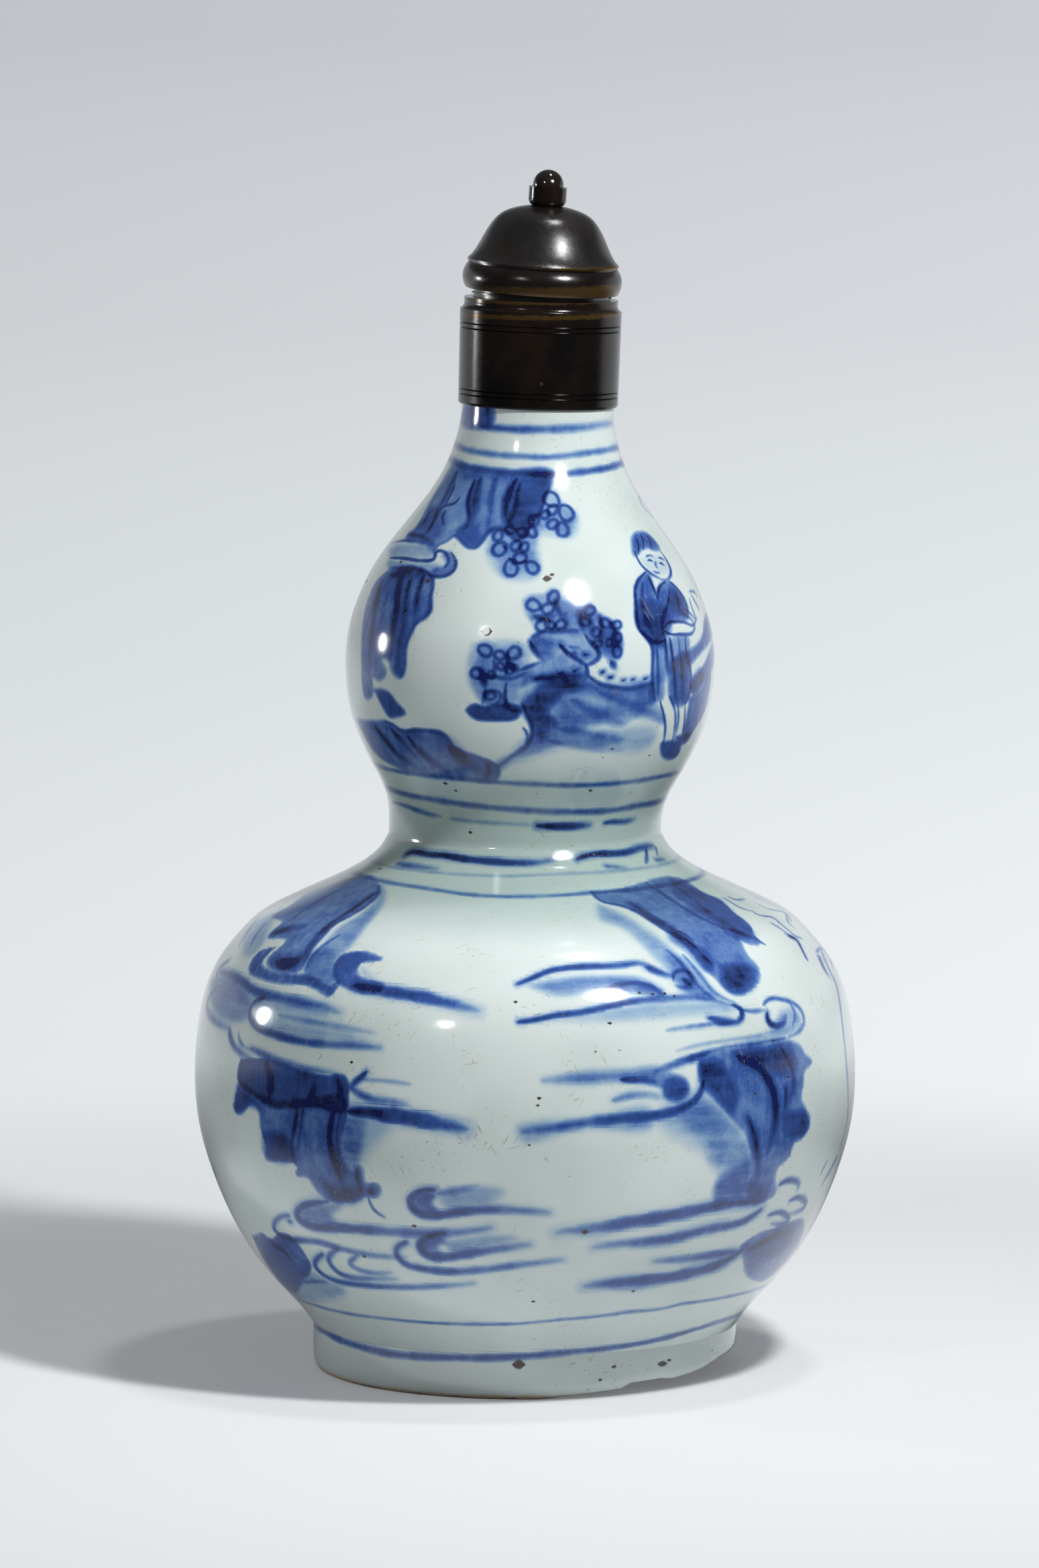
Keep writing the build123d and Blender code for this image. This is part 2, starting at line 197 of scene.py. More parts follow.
def spunShape(name, path, stand, columns):
    # One corner of a plane is drawn out along the path, then spun round the stand's axis.
    clearSelection()
    corner = stand @ Vector((path[0][0], 0.0, path[0][1]))
    bpy.ops.mesh.primitive_plane_add(size=2.0 * mm, location=corner * mm)
    shape = bpy.context.object
    shape.name = name
    bpy.ops.object.transform_apply(location=True, rotation=True, scale=True)
    bpy.ops.object.mode_set(mode="EDIT")
    bpy.ops.mesh.select_mode(type="VERT")
    bpy.ops.mesh.select_all(action="SELECT")
    bpy.ops.mesh.merge(type="CENTER")
    for before, after in zip(path, path[1:]):
        step = stand @ Vector((after[0], 0.0, after[1])) - stand @ Vector((before[0], 0.0, before[1]))
        bpy.ops.mesh.extrude_region_move(TRANSFORM_OT_translate={"value": step * mm})
    bpy.ops.mesh.select_all(action="SELECT")
    axis = stand.to_3x3() @ Vector((0, 0, 1))
    centre = (stand @ Vector((0, 0, 0))) * mm
    bpy.ops.mesh.spin(steps=columns, angle=2.0 * math.pi, center=centre, axis=axis)
    bpy.ops.mesh.select_all(action="SELECT")
    bpy.ops.mesh.remove_doubles(threshold=porcelain["weld"] * mm)
    bpy.ops.mesh.select_all(action="SELECT")
    bpy.ops.mesh.normals_make_consistent(inside=False)
    bpy.ops.object.mode_set(mode="OBJECT")
    bpy.ops.object.shade_smooth_by_angle(angle=math.radians(porcelain["smoothAngle"]))
    return shape


def readPlaces(shape):
    # Every vertex of a mesh, in millimetres.
    places = np.zeros(len(shape.data.vertices) * 3)
    shape.data.vertices.foreach_get("co", places)
    return places.reshape(-1, 3) / mm


def writePlaces(shape, places):
    shape.data.vertices.foreach_set("co", (places * mm).ravel())
    shape.data.update()


def turned(places, matrix):
    grid = np.array(matrix)
    return places @ grid[:3, :3].T + grid[:3, 3]


def roundTheAxis(places):
    # Angle from the front, radius and height of places in a half's own frame.
    angle = np.arctan2(places[:, 0], -places[:, 1])
    return angle, np.hypot(places[:, 0], places[:, 1]), places[:, 2]


def crowdToFront(places):
    # The columns stand closer together at the front, where the brushwork is finest.
    angle, radius, height = roundTheAxis(places)
    angle = angle - porcelain["frontShare"] * np.sin(angle)
    radius = radius * porcelain["inset"]
    return np.stack([radius * np.sin(angle), -radius * np.cos(angle), height], axis=1)


def makeLowerHalf():
    facts = lowerHalf
    foot = facts["footRadius"]
    rim = facts["rimRadius"]
    rounding = facts["rimRounding"]
    wear = facts["rimWear"]
    outer = smoothCurve(facts["outline"], facts["outerRows"])
    inner = movedIn(smoothCurve(facts["outline"], facts["innerRows"]), porcelain["wall"])[::-1]
    inner = [tuple(place) for place in inner[1:] if place[1] > facts["floor"] + porcelain["wall"]]
    bore = porcelain["waistRadius"] - porcelain["wall"]
    path = [(radius, facts["recess"]) for radius in (0.0, facts["recessMiddle"], facts["recessRadius"])]
    ring = facts["ringInner"]
    path += [(ring - wear, wear * 2.0), (ring, wear), (ring + wear, 0.0)]
    path += [((ring + rim) / 2.0, 0.0), (rim - wear, 0.0)]
    for share in facts["rimShares"]:
        quarter = share * math.pi / 2.0
        outward = rim - wear + (foot - rim + wear) * math.sin(quarter)
        path.append((outward, rounding * (1.0 - math.cos(quarter))))
    for row in range(1, facts["footRows"]):
        climb = (facts["outline"][0][1] - rounding) * row / facts["footRows"]
        path.append((foot, rounding + climb))
    path += [tuple(place) for place in outer]
    path += [(porcelain["waistRadius"], porcelain["waistHeight"]), (bore, porcelain["waistHeight"])]
    path += [(bore, facts["outline"][-1][1])] + inner
    path += [(radius, facts["floor"]) for radius in (foot - porcelain["wall"], facts["floorMiddle"], 0.0)]
    shape = spunShape("lowerGourd", path, upright, facts["columns"])
    places = crowdToFront(readPlaces(shape))
    angle, radius, height = roundTheAxis(places)
    own = places.copy()
    near = np.abs(height - porcelain["waistHeight"]) < porcelain["near"]
    slope = math.tan(math.radians(porcelain["lean"] / 2.0))
    places[near, 2] -= places[near, 0] * slope
    lift = np.interp(np.degrees(angle), footLift["degrees"], footLift["rise"], left=0.0)
    fade = np.clip(1.0 - height / footLift["reach"], 0.0, 1.0)
    outside = radius > facts["recessRadius"] + footLift["clearOfRecess"]
    places[:, 2] += np.where(outside, lift * fade, 0.0)
    writePlaces(shape, places)
    return shape, own


def makeUpperHalf():
    facts = upperHalf
    outer = smoothCurve(facts["outline"], facts["outerRows"])
    inner = movedIn(smoothCurve(facts["outline"], facts["innerRows"]), porcelain["wall"])[::-1]
    bore = porcelain["waistRadius"] - porcelain["wall"]
    path = [(porcelain["waistRadius"], 0.0)] + [tuple(place) for place in outer]
    path += [(facts["stubRadius"], facts["neckRise"]), (facts["stubRadius"], facts["stubTop"])]
    path += [(facts["neckBore"], facts["stubTop"]), (facts["neckBore"], facts["neckRise"])]
    path += [tuple(place) for place in inner[1:-1]]
    path += [(bore, facts["outline"][0][1]), (bore, 0.0), (porcelain["waistRadius"], 0.0)]
    shape = spunShape("upperGourd", path, leanTurn, facts["columns"])
    own = crowdToFront(turned(readPlaces(shape), leanTurn.inverted()))
    places = own.copy()
    near = np.abs(own[:, 2]) < porcelain["near"]
    slope = math.tan(math.radians(porcelain["lean"] / 2.0))
    places[near, 2] += places[near, 0] * slope
    writePlaces(shape, turned(places, leanTurn))
    return shape, own


lowerGourd, lowerOwn = makeLowerHalf()
print("lower half", len(lowerGourd.data.polygons))
upperGourd, upperOwn = makeUpperHalf()
print("upper half", len(upperGourd.data.polygons))


# The skin of each half as a table: radius by height, and length along the wall by height.
def skinOf(facts, low, high):
    curve = smoothCurve(facts["outline"], facts["outerRows"] * porcelain["skinFiner"])
    curve = np.concatenate([np.array(low), curve, np.array(high)])
    run = np.concatenate([[0.0], np.cumsum(np.hypot(np.diff(curve[:, 0]), np.diff(curve[:, 1])))])
    return {"radius": curve[:, 0], "height": curve[:, 1], "run": run}


waistRadius = porcelain["waistRadius"]
lowerSkin = skinOf(lowerHalf, [(lowerHalf["footRadius"], 0.0)], [(waistRadius, porcelain["waistHeight"])])
upperSkin = skinOf(upperHalf, [(waistRadius, 0.0)], [(upperHalf["stubRadius"], upperHalf["stubTop"])])


def photoToSkin(spots, skin, stand):
    # Where the camera's rays through these pixels meet a half: angle from the front, and run.
    spots = np.array(spots, dtype=float)
    across = (spots[:, 0] - view["wide"] / 2.0)[:, None] * rightward
    down = (view["high"] / 2.0 - spots[:, 1])[:, None] * upward
    rays = view["focalPixels"] * ahead + across + down
    back = np.array(stand.inverted())
    start = back[:3, :3] @ eyePlace + back[:3, 3]
    rays = rays @ back[:3, :3].T
    depth = np.full(len(spots), -skin["radius"].max() * view["startShare"])
    for _ in range(view["rounds"]):
        reach = (depth - start[1]) / rays[:, 1]
        x = start[0] + reach * rays[:, 0]
        height = start[2] + reach * rays[:, 2]
        radius = np.interp(height, skin["height"], skin["radius"])
        edge = view["edgeShare"] * radius
        x = np.clip(x, -edge, edge)
        depth = 0.5 * depth - 0.5 * np.sqrt(radius**2 - x**2)
    return np.arctan2(x, -depth), np.interp(height, skin["height"], skin["run"])


bake = {
    "name": "OFBake",
    "frontEdge": math.radians(100.0),
    "spare": math.radians(2.0),
    "front": (0.005, 0.615),
    "back": (0.635, 0.9),
    "inside": (0.915, 0.965),
    "under": (0.975, 0.995),
    "underTop": 16.0,
    "margin": 0.01,
    "slope": 0.3,
    "shift": 0.1,
}


def outerPart(radius, height, skin):
    # Which places are on the half's outer face.
    limit = np.interp(height, skin["height"], skin["radius"]) - porcelain["slack"]
    return (radius > limit) & (height > -porcelain["near"])


def layOut(shape, own, skin):
    # The texture layout gives the front most room, then the back, then the inside.
    mesh = shape.data
    corner = np.zeros(len(mesh.loops), dtype=np.int32)
    start = np.zeros(len(mesh.polygons), dtype=np.int32)
    sides = np.zeros(len(mesh.polygons), dtype=np.int32)
    mesh.loops.foreach_get("vertex_index", corner)
    mesh.polygons.foreach_get("loop_start", start)
    mesh.polygons.foreach_get("loop_total", sides)
    angle, radius, height = roundTheAxis(own)
    outer = outerPart(radius, height, skin)
    middle = np.add.reduceat(own[corner], start) / sides[:, None]
    middleAngle, _, middleHeight = (np.repeat(item, sides) for item in roundTheAxis(middle))
    outside = np.repeat(np.logical_and.reduceat(outer[corner], start), sides)
    turn = np.mod(angle[corner] - middleAngle + math.pi, 2.0 * math.pi) - math.pi
    turn = np.where(radius[corner] < porcelain["near"], 0.0, turn)
    edge, spare = bake["frontEdge"], bake["spare"]
    front = np.abs(middleAngle) < edge
    share = (middleAngle + turn + edge + spare) / (2.0 * (edge + spare))
    backShare = (np.mod(middleAngle, 2.0 * math.pi) + turn - edge + spare) / (2.0 * (math.pi - edge + spare))
    wholeShare = (middleAngle + turn + math.pi + spare) / (2.0 * (math.pi + spare))
    across = np.where(outside, np.where(front, share, backShare), wholeShare)
    run = np.interp(height[corner], skin["height"], skin["run"]) / skin["run"][-1]
    deep = 1.0 - (height[corner] + bake["slope"] * radius[corner]) / skin["height"][-1]
    deep = (deep + bake["shift"]) / (1.0 + bake["shift"])
    under = middleHeight < (bake["underTop"] if skin is lowerSkin else 0.0)

    def strip(name, value):
        low, high = bake[name]
        return low + (high - low) * np.clip(value, 0.0, 1.0)

    inside = np.where(under, strip("under", radius[corner] / skin["radius"][0]), strip("inside", deep))
    along = np.where(outside, np.where(front, strip("front", run), strip("back", run)), inside)
    layout = mesh.uv_layers.new(name=bake["name"])
    across = bake["margin"] + (1.0 - 2.0 * bake["margin"]) * across
    layout.data.foreach_set("uv", np.stack([across, along], axis=1).ravel())


layOut(lowerGourd, lowerOwn, lowerSkin)
layOut(upperGourd, upperOwn, upperSkin)


brush = {
    "pixelsPerMm": 5.25,
    "stepPixels": 4.5,
    "fewestSteps": 5,
    "cell": 1.35,
    "clear": 2.6,
    "wobble": 0.1,
    "taper": 0.34,
    "thinEnd": 0.26,
    "chunk": 10,
    "twist": 0.16,
    "rise": 7.0,
    "blank": -3.0,
    "wet": 1.15,
    "dry": 0.7,
    "faded": 0.3,
    "haloFrom": 6.0,
    "haloWidth": 1.15,
    "haloTone": 0.55,
    "haloFade": 0.6,
    "wobblePace": 0.55,
    "wobbleShift": 9.0,
    "farOff": 5.0,
    "ringSteps": 241,
    "riseWaves": 3.0,
    "twistLength": 19.0,
}
# One leaf of a tree clump: a loop a little longer than wide, turned by its place.
leaf = {
    "length": 1.08,
    "tip": 0.16,
    "breadth": 0.84,
    "end": 6.1,
    "steps": 11,
    "lean": (0.37, 0.61),
    "fullTurn": 6.28,
    "width": 3.6,
    "tone": 0.66,
}


def leafLoop(x, y, size):
    lean = (x * leaf["lean"][0] + y * leaf["lean"][1]) % leaf["fullTurn"]
    spots = []
    for around in np.linspace(0.0, leaf["end"], leaf["steps"]):
        long = size * (leaf["length"] + leaf["tip"] * math.cos(around) ** 3) * math.cos(around)
        broad = size * leaf["breadth"] * math.sin(around)
        right = long * math.cos(lean) - broad * math.sin(lean)
        down = long * math.sin(lean) + broad * math.cos(lean)
        spots.append((x + right, y + down))
    return spots


def ontoBack(angles, runs):
    # The unseen back carries on in the same manner, with the front's strokes turned over and drifting.
    turn = math.pi - angles
    drift = np.sin(turn - math.pi / 2.0) ** 2
    runs = runs + brush["rise"] * drift * np.sin(turn * brush["riseWaves"])
    return turn + brush["twist"] * drift * np.sin(runs / brush["twistLength"]), runs


class Canvas:
    # The brushwork of one half: crisp strokes kept in layers, and broad soft washes.
    def __init__(self, shape, own, skin, stand):
        self.shape = shape
        self.skin = skin
        self.stand = stand
        angle, radius, height = roundTheAxis(own)
        self.outside = np.nonzero(outerPart(radius, height, skin))[0]
        self.angle = angle[self.outside]
        self.radius = radius[self.outside]
        self.run = np.interp(height[self.outside], skin["height"], skin["run"])
        self.layers = []
        self.wash = np.zeros(len(self.outside))
        self.count = len(own)

    def trace(self, spots, closed=False):
        spots = list(spots) + ([spots[0]] if closed else [])
        length = np.linalg.norm(np.diff(np.array(spots, dtype=float), axis=0), axis=1).sum()
        if len(spots) > 2:
            spots = smoothCurve(spots, max(int(length / brush["stepPixels"]), brush["fewestSteps"]))
        return photoToSkin(spots, self.skin, self.stand)

    def nearby(self, angles, runs, reach):
        middle = (angles.min() + angles.max()) / 2.0
        turn = np.mod(self.angle - middle + math.pi, 2.0 * math.pi) - math.pi
        half = (angles.max() - angles.min()) / 2.0
        close = np.abs(turn) * self.radius < half * self.radius + reach
        close &= (self.run > runs.min() - reach) & (self.run < runs.max() + reach)
        found = np.nonzero(close)[0]
        return found, middle + turn[found]

    def offsets(self, angles, runs, widths, reach):
        # Signed distance of every vertex near the stroke, and the stroke's half width there.
        best = np.full(len(self.outside), 1e9)
        along = np.zeros(len(self.outside))
        offset = np.zeros(len(self.outside))
        half = np.full(len(self.outside), brush["blank"])
        last = len(angles) - 1
        for first in range(0, last, brush["chunk"]):
            end = min(first + brush["chunk"], last)
            found, turn = self.nearby(angles[first : end + 1], runs[first : end + 1], reach)
            if len(found) == 0:
                continue
            radius = self.radius[found][:, None]
            ax = (angles[None, first:end] - turn[:, None]) * radius
            ay = runs[None, first:end] - self.run[found][:, None]
            ex = (angles[None, first + 1 : end + 1] - angles[None, first:end]) * radius
            ey = (runs[None, first + 1 : end + 1] - runs[None, first:end]) + 0.0 * radius
            size = ex**2 + ey**2 + 1e-9
            part = -(ax * ex + ay * ey) / size
            kept = np.clip(part, 0.0, 1.0)
            far = np.hypot(ax + kept * ex, ay + kept * ey)
            pick = far.argmin(axis=1)
            rows = np.arange(len(found))
            far = far[rows, pick]
            side = (ex * ay - ey * ax)[rows, pick] / np.sqrt(size[rows, pick])
            share = part[rows, pick]
            over = np.where((first + pick == 0) & (share < 0.0), -share, 0.0)
            over += np.where((first + pick == last - 1) & (share > 1.0), share - 1.0, 0.0)
            over *= np.sqrt(size[rows, pick])
            value = np.where(over > 0.0, np.abs(side), far) * np.sign(side + 1e-12)
            growth = widths[first + pick + 1] - widths[first + pick]
            wide = widths[first + pick] + growth * kept[rows, pick]
            better = far < best[found]
            chosen = found[better]
            best[chosen] = far[better]
            offset[chosen] = value[better]
            half[chosen] = (wide - over)[better]
            along[chosen] = ((first + pick + kept[rows, pick]) / last)[better]
        return best, offset, half, along

    def place(self, claimed, guarded, offset, half, tone):
        # The stroke goes into the first layer that is free all round it.
        for layer in self.layers:
            if not layer["taken"][guarded].any():
                break
        else:
            size = len(self.outside)
            layer = {"taken": np.zeros(size, dtype=bool), "data": np.zeros((size, 3))}
            layer["data"][:, 0] = brush["farOff"]
            layer["data"][:, 1] = brush["blank"]
            self.layers.append(layer)
        layer["taken"][claimed] = True
        layer["data"][claimed] = np.stack([offset, half, tone], axis=1)

    def line(self, angles, runs, width, tone, taper=True):
        along = np.linspace(0.0, 1.0, len(angles))
        widths = np.full(len(angles), width / 2.0 / brush["pixelsPerMm"])
        if taper:
            edge = np.clip(np.minimum(along, 1.0 - along) / brush["taper"], 0.0, 1.0)
            widths *= brush["thinEnd"] + (1.0 - brush["thinEnd"]) * np.sqrt(edge)
        wave = along * len(angles) * brush["wobblePace"] + width + tone * brush["wobbleShift"]
        widths *= 1.0 + brush["wobble"] * np.sin(wave)
        reach = width / 2.0 / brush["pixelsPerMm"] + brush["clear"]
        best, offset, half, part = self.offsets(angles, runs, widths, reach)
        guarded = np.nonzero(best < reach)[0]
        claimed = np.nonzero(best < reach - brush["clear"] + brush["cell"])[0]
        last = brush["faded"] if width >= brush["haloFrom"] else brush["dry"]
        tones = tone * np.where(taper, brush["wet"] - (brush["wet"] - last) * part[claimed] ** 2, 1.0)
        self.place(claimed, guarded, offset[claimed], half[claimed], tones)
        if taper and width >= brush["haloFrom"]:
            near = np.nonzero(best < reach)[0]
            spread = width / brush["pixelsPerMm"] * brush["haloWidth"]
            share = np.clip(1.0 - best[near] / spread, 0.0, 1.0) * (1.0 - brush["haloFade"] * part[near])
            self.wash[near] = np.maximum(self.wash[near], brush["haloTone"] * tone * share)

    def depthInside(self, angles, runs, reach):
        # Distance to the edge of a closed shape, more than nothing inside it.
        found, turn = self.nearby(angles, runs, reach)
        radius = self.radius[found][:, None]
        ax = (angles[None, :-1] - turn[:, None]) * radius
        ay = runs[None, :-1] - self.run[found][:, None]
        bx = (angles[None, 1:] - turn[:, None]) * radius
        by = runs[None, 1:] - self.run[found][:, None]
        ex = bx - ax
        ey = by - ay
        part = np.clip(-(ax * ex + ay * ey) / (ex**2 + ey**2 + 1e-9), 0.0, 1.0)
        far = np.hypot(ax + part * ex, ay + part * ey).min(axis=1)
        crossed = (ay > 0.0) != (by > 0.0)
        where = ax - ay * ex / np.where(np.abs(ey) < 1e-9, 1e-9, ey)
        inside = (crossed & (where > 0.0)).sum(axis=1) % 2 == 1
        return found, np.where(inside, far, -far)

    def fill(self, angles, runs, tone, soft=0.0):
        closedAngles = np.append(angles, angles[0])
        closedRuns = np.append(runs, runs[0])
        if soft > 0.0:
            found, depth = self.depthInside(closedAngles, closedRuns, soft)
            share = np.clip(depth / soft * 0.5 + 0.5, 0.0, 1.0)
            share = tone * share * share * (3.0 - 2.0 * share)
            self.wash[found] = 1.0 - (1.0 - self.wash[found]) * (1.0 - share)
            return
        reach = brush["clear"]
        found, depth = self.depthInside(closedAngles, closedRuns, reach)
        guarded = found[depth > -reach]
        kept = depth > -brush["cell"]
        offset = reach - np.clip(depth[kept], -reach, reach)
        self.place(found[kept], guarded, offset, np.full(kept.sum(), reach), np.full(kept.sum(), tone))

    def ring(self, spots, width, tone):
        angles, runs = self.trace(spots)
        order = np.argsort(angles)
        around = np.linspace(-math.pi, math.pi, brush["ringSteps"])
        keys = np.concatenate([angles[order] + turn for turn in (-2.0 * math.pi, 0.0, 2.0 * math.pi)])
        self.line(around, np.interp(around, keys, np.tile(runs[order], 3)), width, tone, taper=False)

    def paint(self, art, mirrored=True, turn=0.0, squeeze=1.0):
        def both(draw, spots, closed, *facts, **more):
            angles, runs = self.trace(spots, closed)
            angles = angles * squeeze + turn
            draw(angles, runs, *facts, **more)
            if mirrored:
                draw(*ontoBack(angles, runs), *facts, **more)

        for tone, soft, spots in art.get("washes", {}).values():
            both(self.fill, spots, True, tone, soft / brush["pixelsPerMm"])
        for tone, spots in art.get("fills", {}).values():
            both(self.fill, spots, True, tone)
        for tone, width, spots in art.get("rings", {}).values():
            self.ring(spots, width, tone)
        for tone, width, spots in art.get("lines", {}).values():
            both(self.line, spots, False, width, tone)
        for spot in art.get("leaves", []):
            both(self.line, leafLoop(*spot), False, leaf["width"], leaf["tone"], taper=False)

    def keep(self, prefix):
        # Hands the layers over as attributes that the glaze reads.
        for number, layer in enumerate(self.layers):
            data = np.zeros((self.count, 3))
            data[:, 0] = brush["farOff"]
            data[:, 1] = brush["blank"]
            data[self.outside] = layer["data"]
            made = self.shape.data.attributes.new(prefix + str(number), "FLOAT_VECTOR", "POINT")
            made.data.foreach_set("vector", data.ravel())
        soft = np.zeros(self.count)
        soft[self.outside] = self.wash
        made = self.shape.data.attributes.new(prefix + "Wash", "FLOAT", "POINT")
        made.data.foreach_set("value", soft)
        return len(self.layers)


# Brushwork of the upper half. Places are the photograph's pixels. A wash has a tone, how soft its
# edge is and its outline, a fill a tone and its outline, a line or ring a tone, its width and its
# course, and a leaf its middle and its size.
neckArt = {
    "rings": {
        "ringAboveCliffs": (0.44, 7, [(690, 672), (700, 677), (720, 682), (750, 686), (780, 688), (820, 690),
            (850, 688), (880, 684), (910, 680), (932, 675)]),
        "ringOverCliffs": (0.52, 8, [(680, 693), (700, 702), (720, 706), (740, 709), (780, 713), (820, 715),
            (850, 715), (880, 712), (900, 709), (920, 705), (938, 699)]),
        "ringAboveWaist": (0.5, 6.5, [(640, 1170), (700, 1176), (760, 1181), (800, 1183), (850, 1185), (900, 1184),
            (940, 1181), (980, 1175), (1020, 1167)]),
        "ringOnWaist": (0.52, 7.5, [(592, 1192), (610, 1198), (640, 1204), (680, 1211), (720, 1216), (760, 1220),
            (800, 1223), (850, 1225), (880, 1225), (920, 1223), (950, 1218), (965, 1215)]),
    },
    "fills": {
        "runsUnderCollar": (0.5, [(701, 611), (722, 613), (742, 612), (746, 626), (742, 640), (722, 646),
            (698, 642)]),
    },
    "lines": {
        "blurUnderCollar": (0.4, 9, [(727, 643), (750, 646), (800, 648), (850, 647), (880, 645), (900, 642),
            (925, 638)]),
        "runStripeLeft": (0.5, 5, [(711, 610), (713, 628), (712, 645)]),
        "runStripeRight": (0.5, 5, [(735, 612), (736, 630), (735, 646)]),
        "brokenRingLeft": (0.5, 5, [(592, 1210), (618, 1218), (640, 1226), (665, 1232)]),
        "brokenRingMiddle": (0.22, 5, [(680, 1235), (720, 1240), (770, 1243), (800, 1245)]),
        "brokenRingRight": (0.8, 9, [(810, 1246), (850, 1247), (890, 1245)]),
        "waistDabs": (0.5, 6, [(912, 1242), (927, 1240), (940, 1240), (958, 1236)]),
    },
}
hangingOutline = [
    (682, 700), (720, 708), (770, 714), (833, 716), (829, 735), (822, 750), (818, 766), (808, 782), (800, 795),
    (790, 808), (780, 815), (770, 806), (762, 800), (750, 797), (738, 802), (728, 815), (718, 826), (708, 826),
    (698, 818), (685, 808), (675, 816), (662, 822), (654, 832), (645, 824), (630, 818), (612, 812), (622, 800),
    (640, 775), (660, 738),
]
hangingCliff = {
    "fills": {
        "cliffBody": (0.34, hangingOutline),
    },
    "washes": {
        "rightShade": (0.42, 8, [(775, 722), (800, 718), (831, 718), (826, 740), (815, 768), (800, 792), (785, 808),
            (772, 800), (765, 790), (774, 760), (777, 740)]),
        "leftShade": (0.25, 8, [(650, 765), (668, 768), (672, 790), (655, 815), (630, 812), (628, 800), (640, 780)]),
        "topShade": (0.25, 8, [(690, 703), (760, 712), (830, 718), (828, 726), (760, 722), (690, 714)]),
        "lobeShade": (0.3, 8, [(700, 790), (716, 790), (724, 812), (714, 824), (698, 812), (690, 803)]),
    },
    "lines": {
        "foldMiddle": (0.5, 13, [(725, 722), (717, 750), (713, 776), (704, 797)]),
        "foldMiddleDark": (0.75, 6, [(717, 724), (709, 745), (706, 766), (708, 782), (698, 800)]),
        "foldRight": (0.7, 10, [(780, 722), (770, 740), (764, 760), (764, 780), (772, 796)]),
        "foldRightThin": (0.5, 7, [(786, 728), (779, 750), (776, 772), (768, 788)]),
        "foldLeft": (0.45, 9, [(690, 712), (678, 738), (664, 765), (648, 800)]),
        "foldPale": (0.3, 7, [(748, 722), (742, 748), (740, 776), (734, 798)]),
        "foldFoot": (0.6, 9, [(618, 806), (638, 811), (655, 824)]),
        "cliffEdge": (0.5, 5, hangingOutline[4:23]),
        "needleA": (0.8, 4, [(687, 730), (682, 742), (676, 754), (670, 766)]),
        "needleB": (0.75, 4, [(694, 750), (685, 760), (672, 763), (664, 770)]),
        "needleC": (0.7, 4, [(672, 770), (668, 780), (669, 792)]),
        "needleD": (0.7, 5, [(661, 768), (654, 788), (642, 806)]),
        "needleE": (0.6, 4, [(648, 772), (641, 786), (632, 800)]),
        "needleF": (0.6, 3.5, [(636, 786), (626, 802), (618, 812)]),
    },
}
cloudCurl = {
    "fills": {
        "curlHook": (0.42, [(680, 834), (687, 845), (686, 858), (678, 866), (665, 870), (650, 868), (655, 860),
            (668, 857), (674, 847), (668, 836)]),
    },
    "lines": {
        "curlTop": (0.6, 4, [(590, 820), (605, 816), (622, 816), (640, 820)]),
        "curlUnder": (0.8, 5, [(588, 842), (605, 842), (625, 845), (645, 846), (656, 842), (657, 834), (666, 831),
            (675, 838), (677, 848), (671, 856)]),
        "curlOuter": (0.7, 4.5, [(681, 834), (687, 845), (686, 858), (678, 866), (665, 870), (648, 868)]),
        "curlLow": (0.5, 4, [(588, 857), (610, 857), (632, 860), (648, 866)]),
    },
    "washes": {
        "curlWash": (0.24, 8, [(585, 824), (620, 822), (645, 828), (652, 838), (640, 843), (605, 841), (588, 838)]),
        "curlWashLow": (0.22, 7, [(585, 846), (640, 850), (665, 856), (655, 864), (610, 856), (586, 856)]),
    },
}
clumpsUpper = {
    "fills": {
        "clumpLeft": (0.16, [(742, 800), (760, 799), (775, 792), (790, 786), (800, 780), (812, 788), (809, 815),
            (806, 840), (815, 858), (808, 867), (792, 864), (775, 871), (758, 867), (752, 850), (745, 840),
            (738, 832), (744, 818)]),
        "clumpRight": (0.16, [(819, 742), (838, 741), (846, 755), (858, 764), (869, 779), (862, 793), (857, 808),
            (842, 804), (830, 796), (815, 797), (808, 790), (812, 776), (818, 762)]),
    },
    "washes": {
        "clumpWash": (0.12, 8, [(735, 800), (775, 785), (815, 775), (870, 775), (865, 810), (815, 810), (815, 865),
            (760, 872), (735, 840)]),
    },
    "lines": {
        "petalHeart": (0.8, 7, [(760, 824), (765, 829)]),
        "petalHeartLow": (0.85, 7, [(773, 848), (778, 854)]),
        "petalStem": (0.6, 4, [(768, 842), (782, 850), (796, 846)]),
    },
    "leaves": [
        (751, 809, 8), (753, 829, 11), (769, 800, 7), (778, 824, 8), (789, 804, 8), (802, 802, 8), (791, 826, 7),
        (784, 842, 9), (771, 858, 12), (804, 857, 10), (806, 786, 8), (831, 753, 12), (833, 770, 8), (855, 775, 12),
        (822, 777, 7), (833, 791, 8), (849, 800, 10),
    ],
}
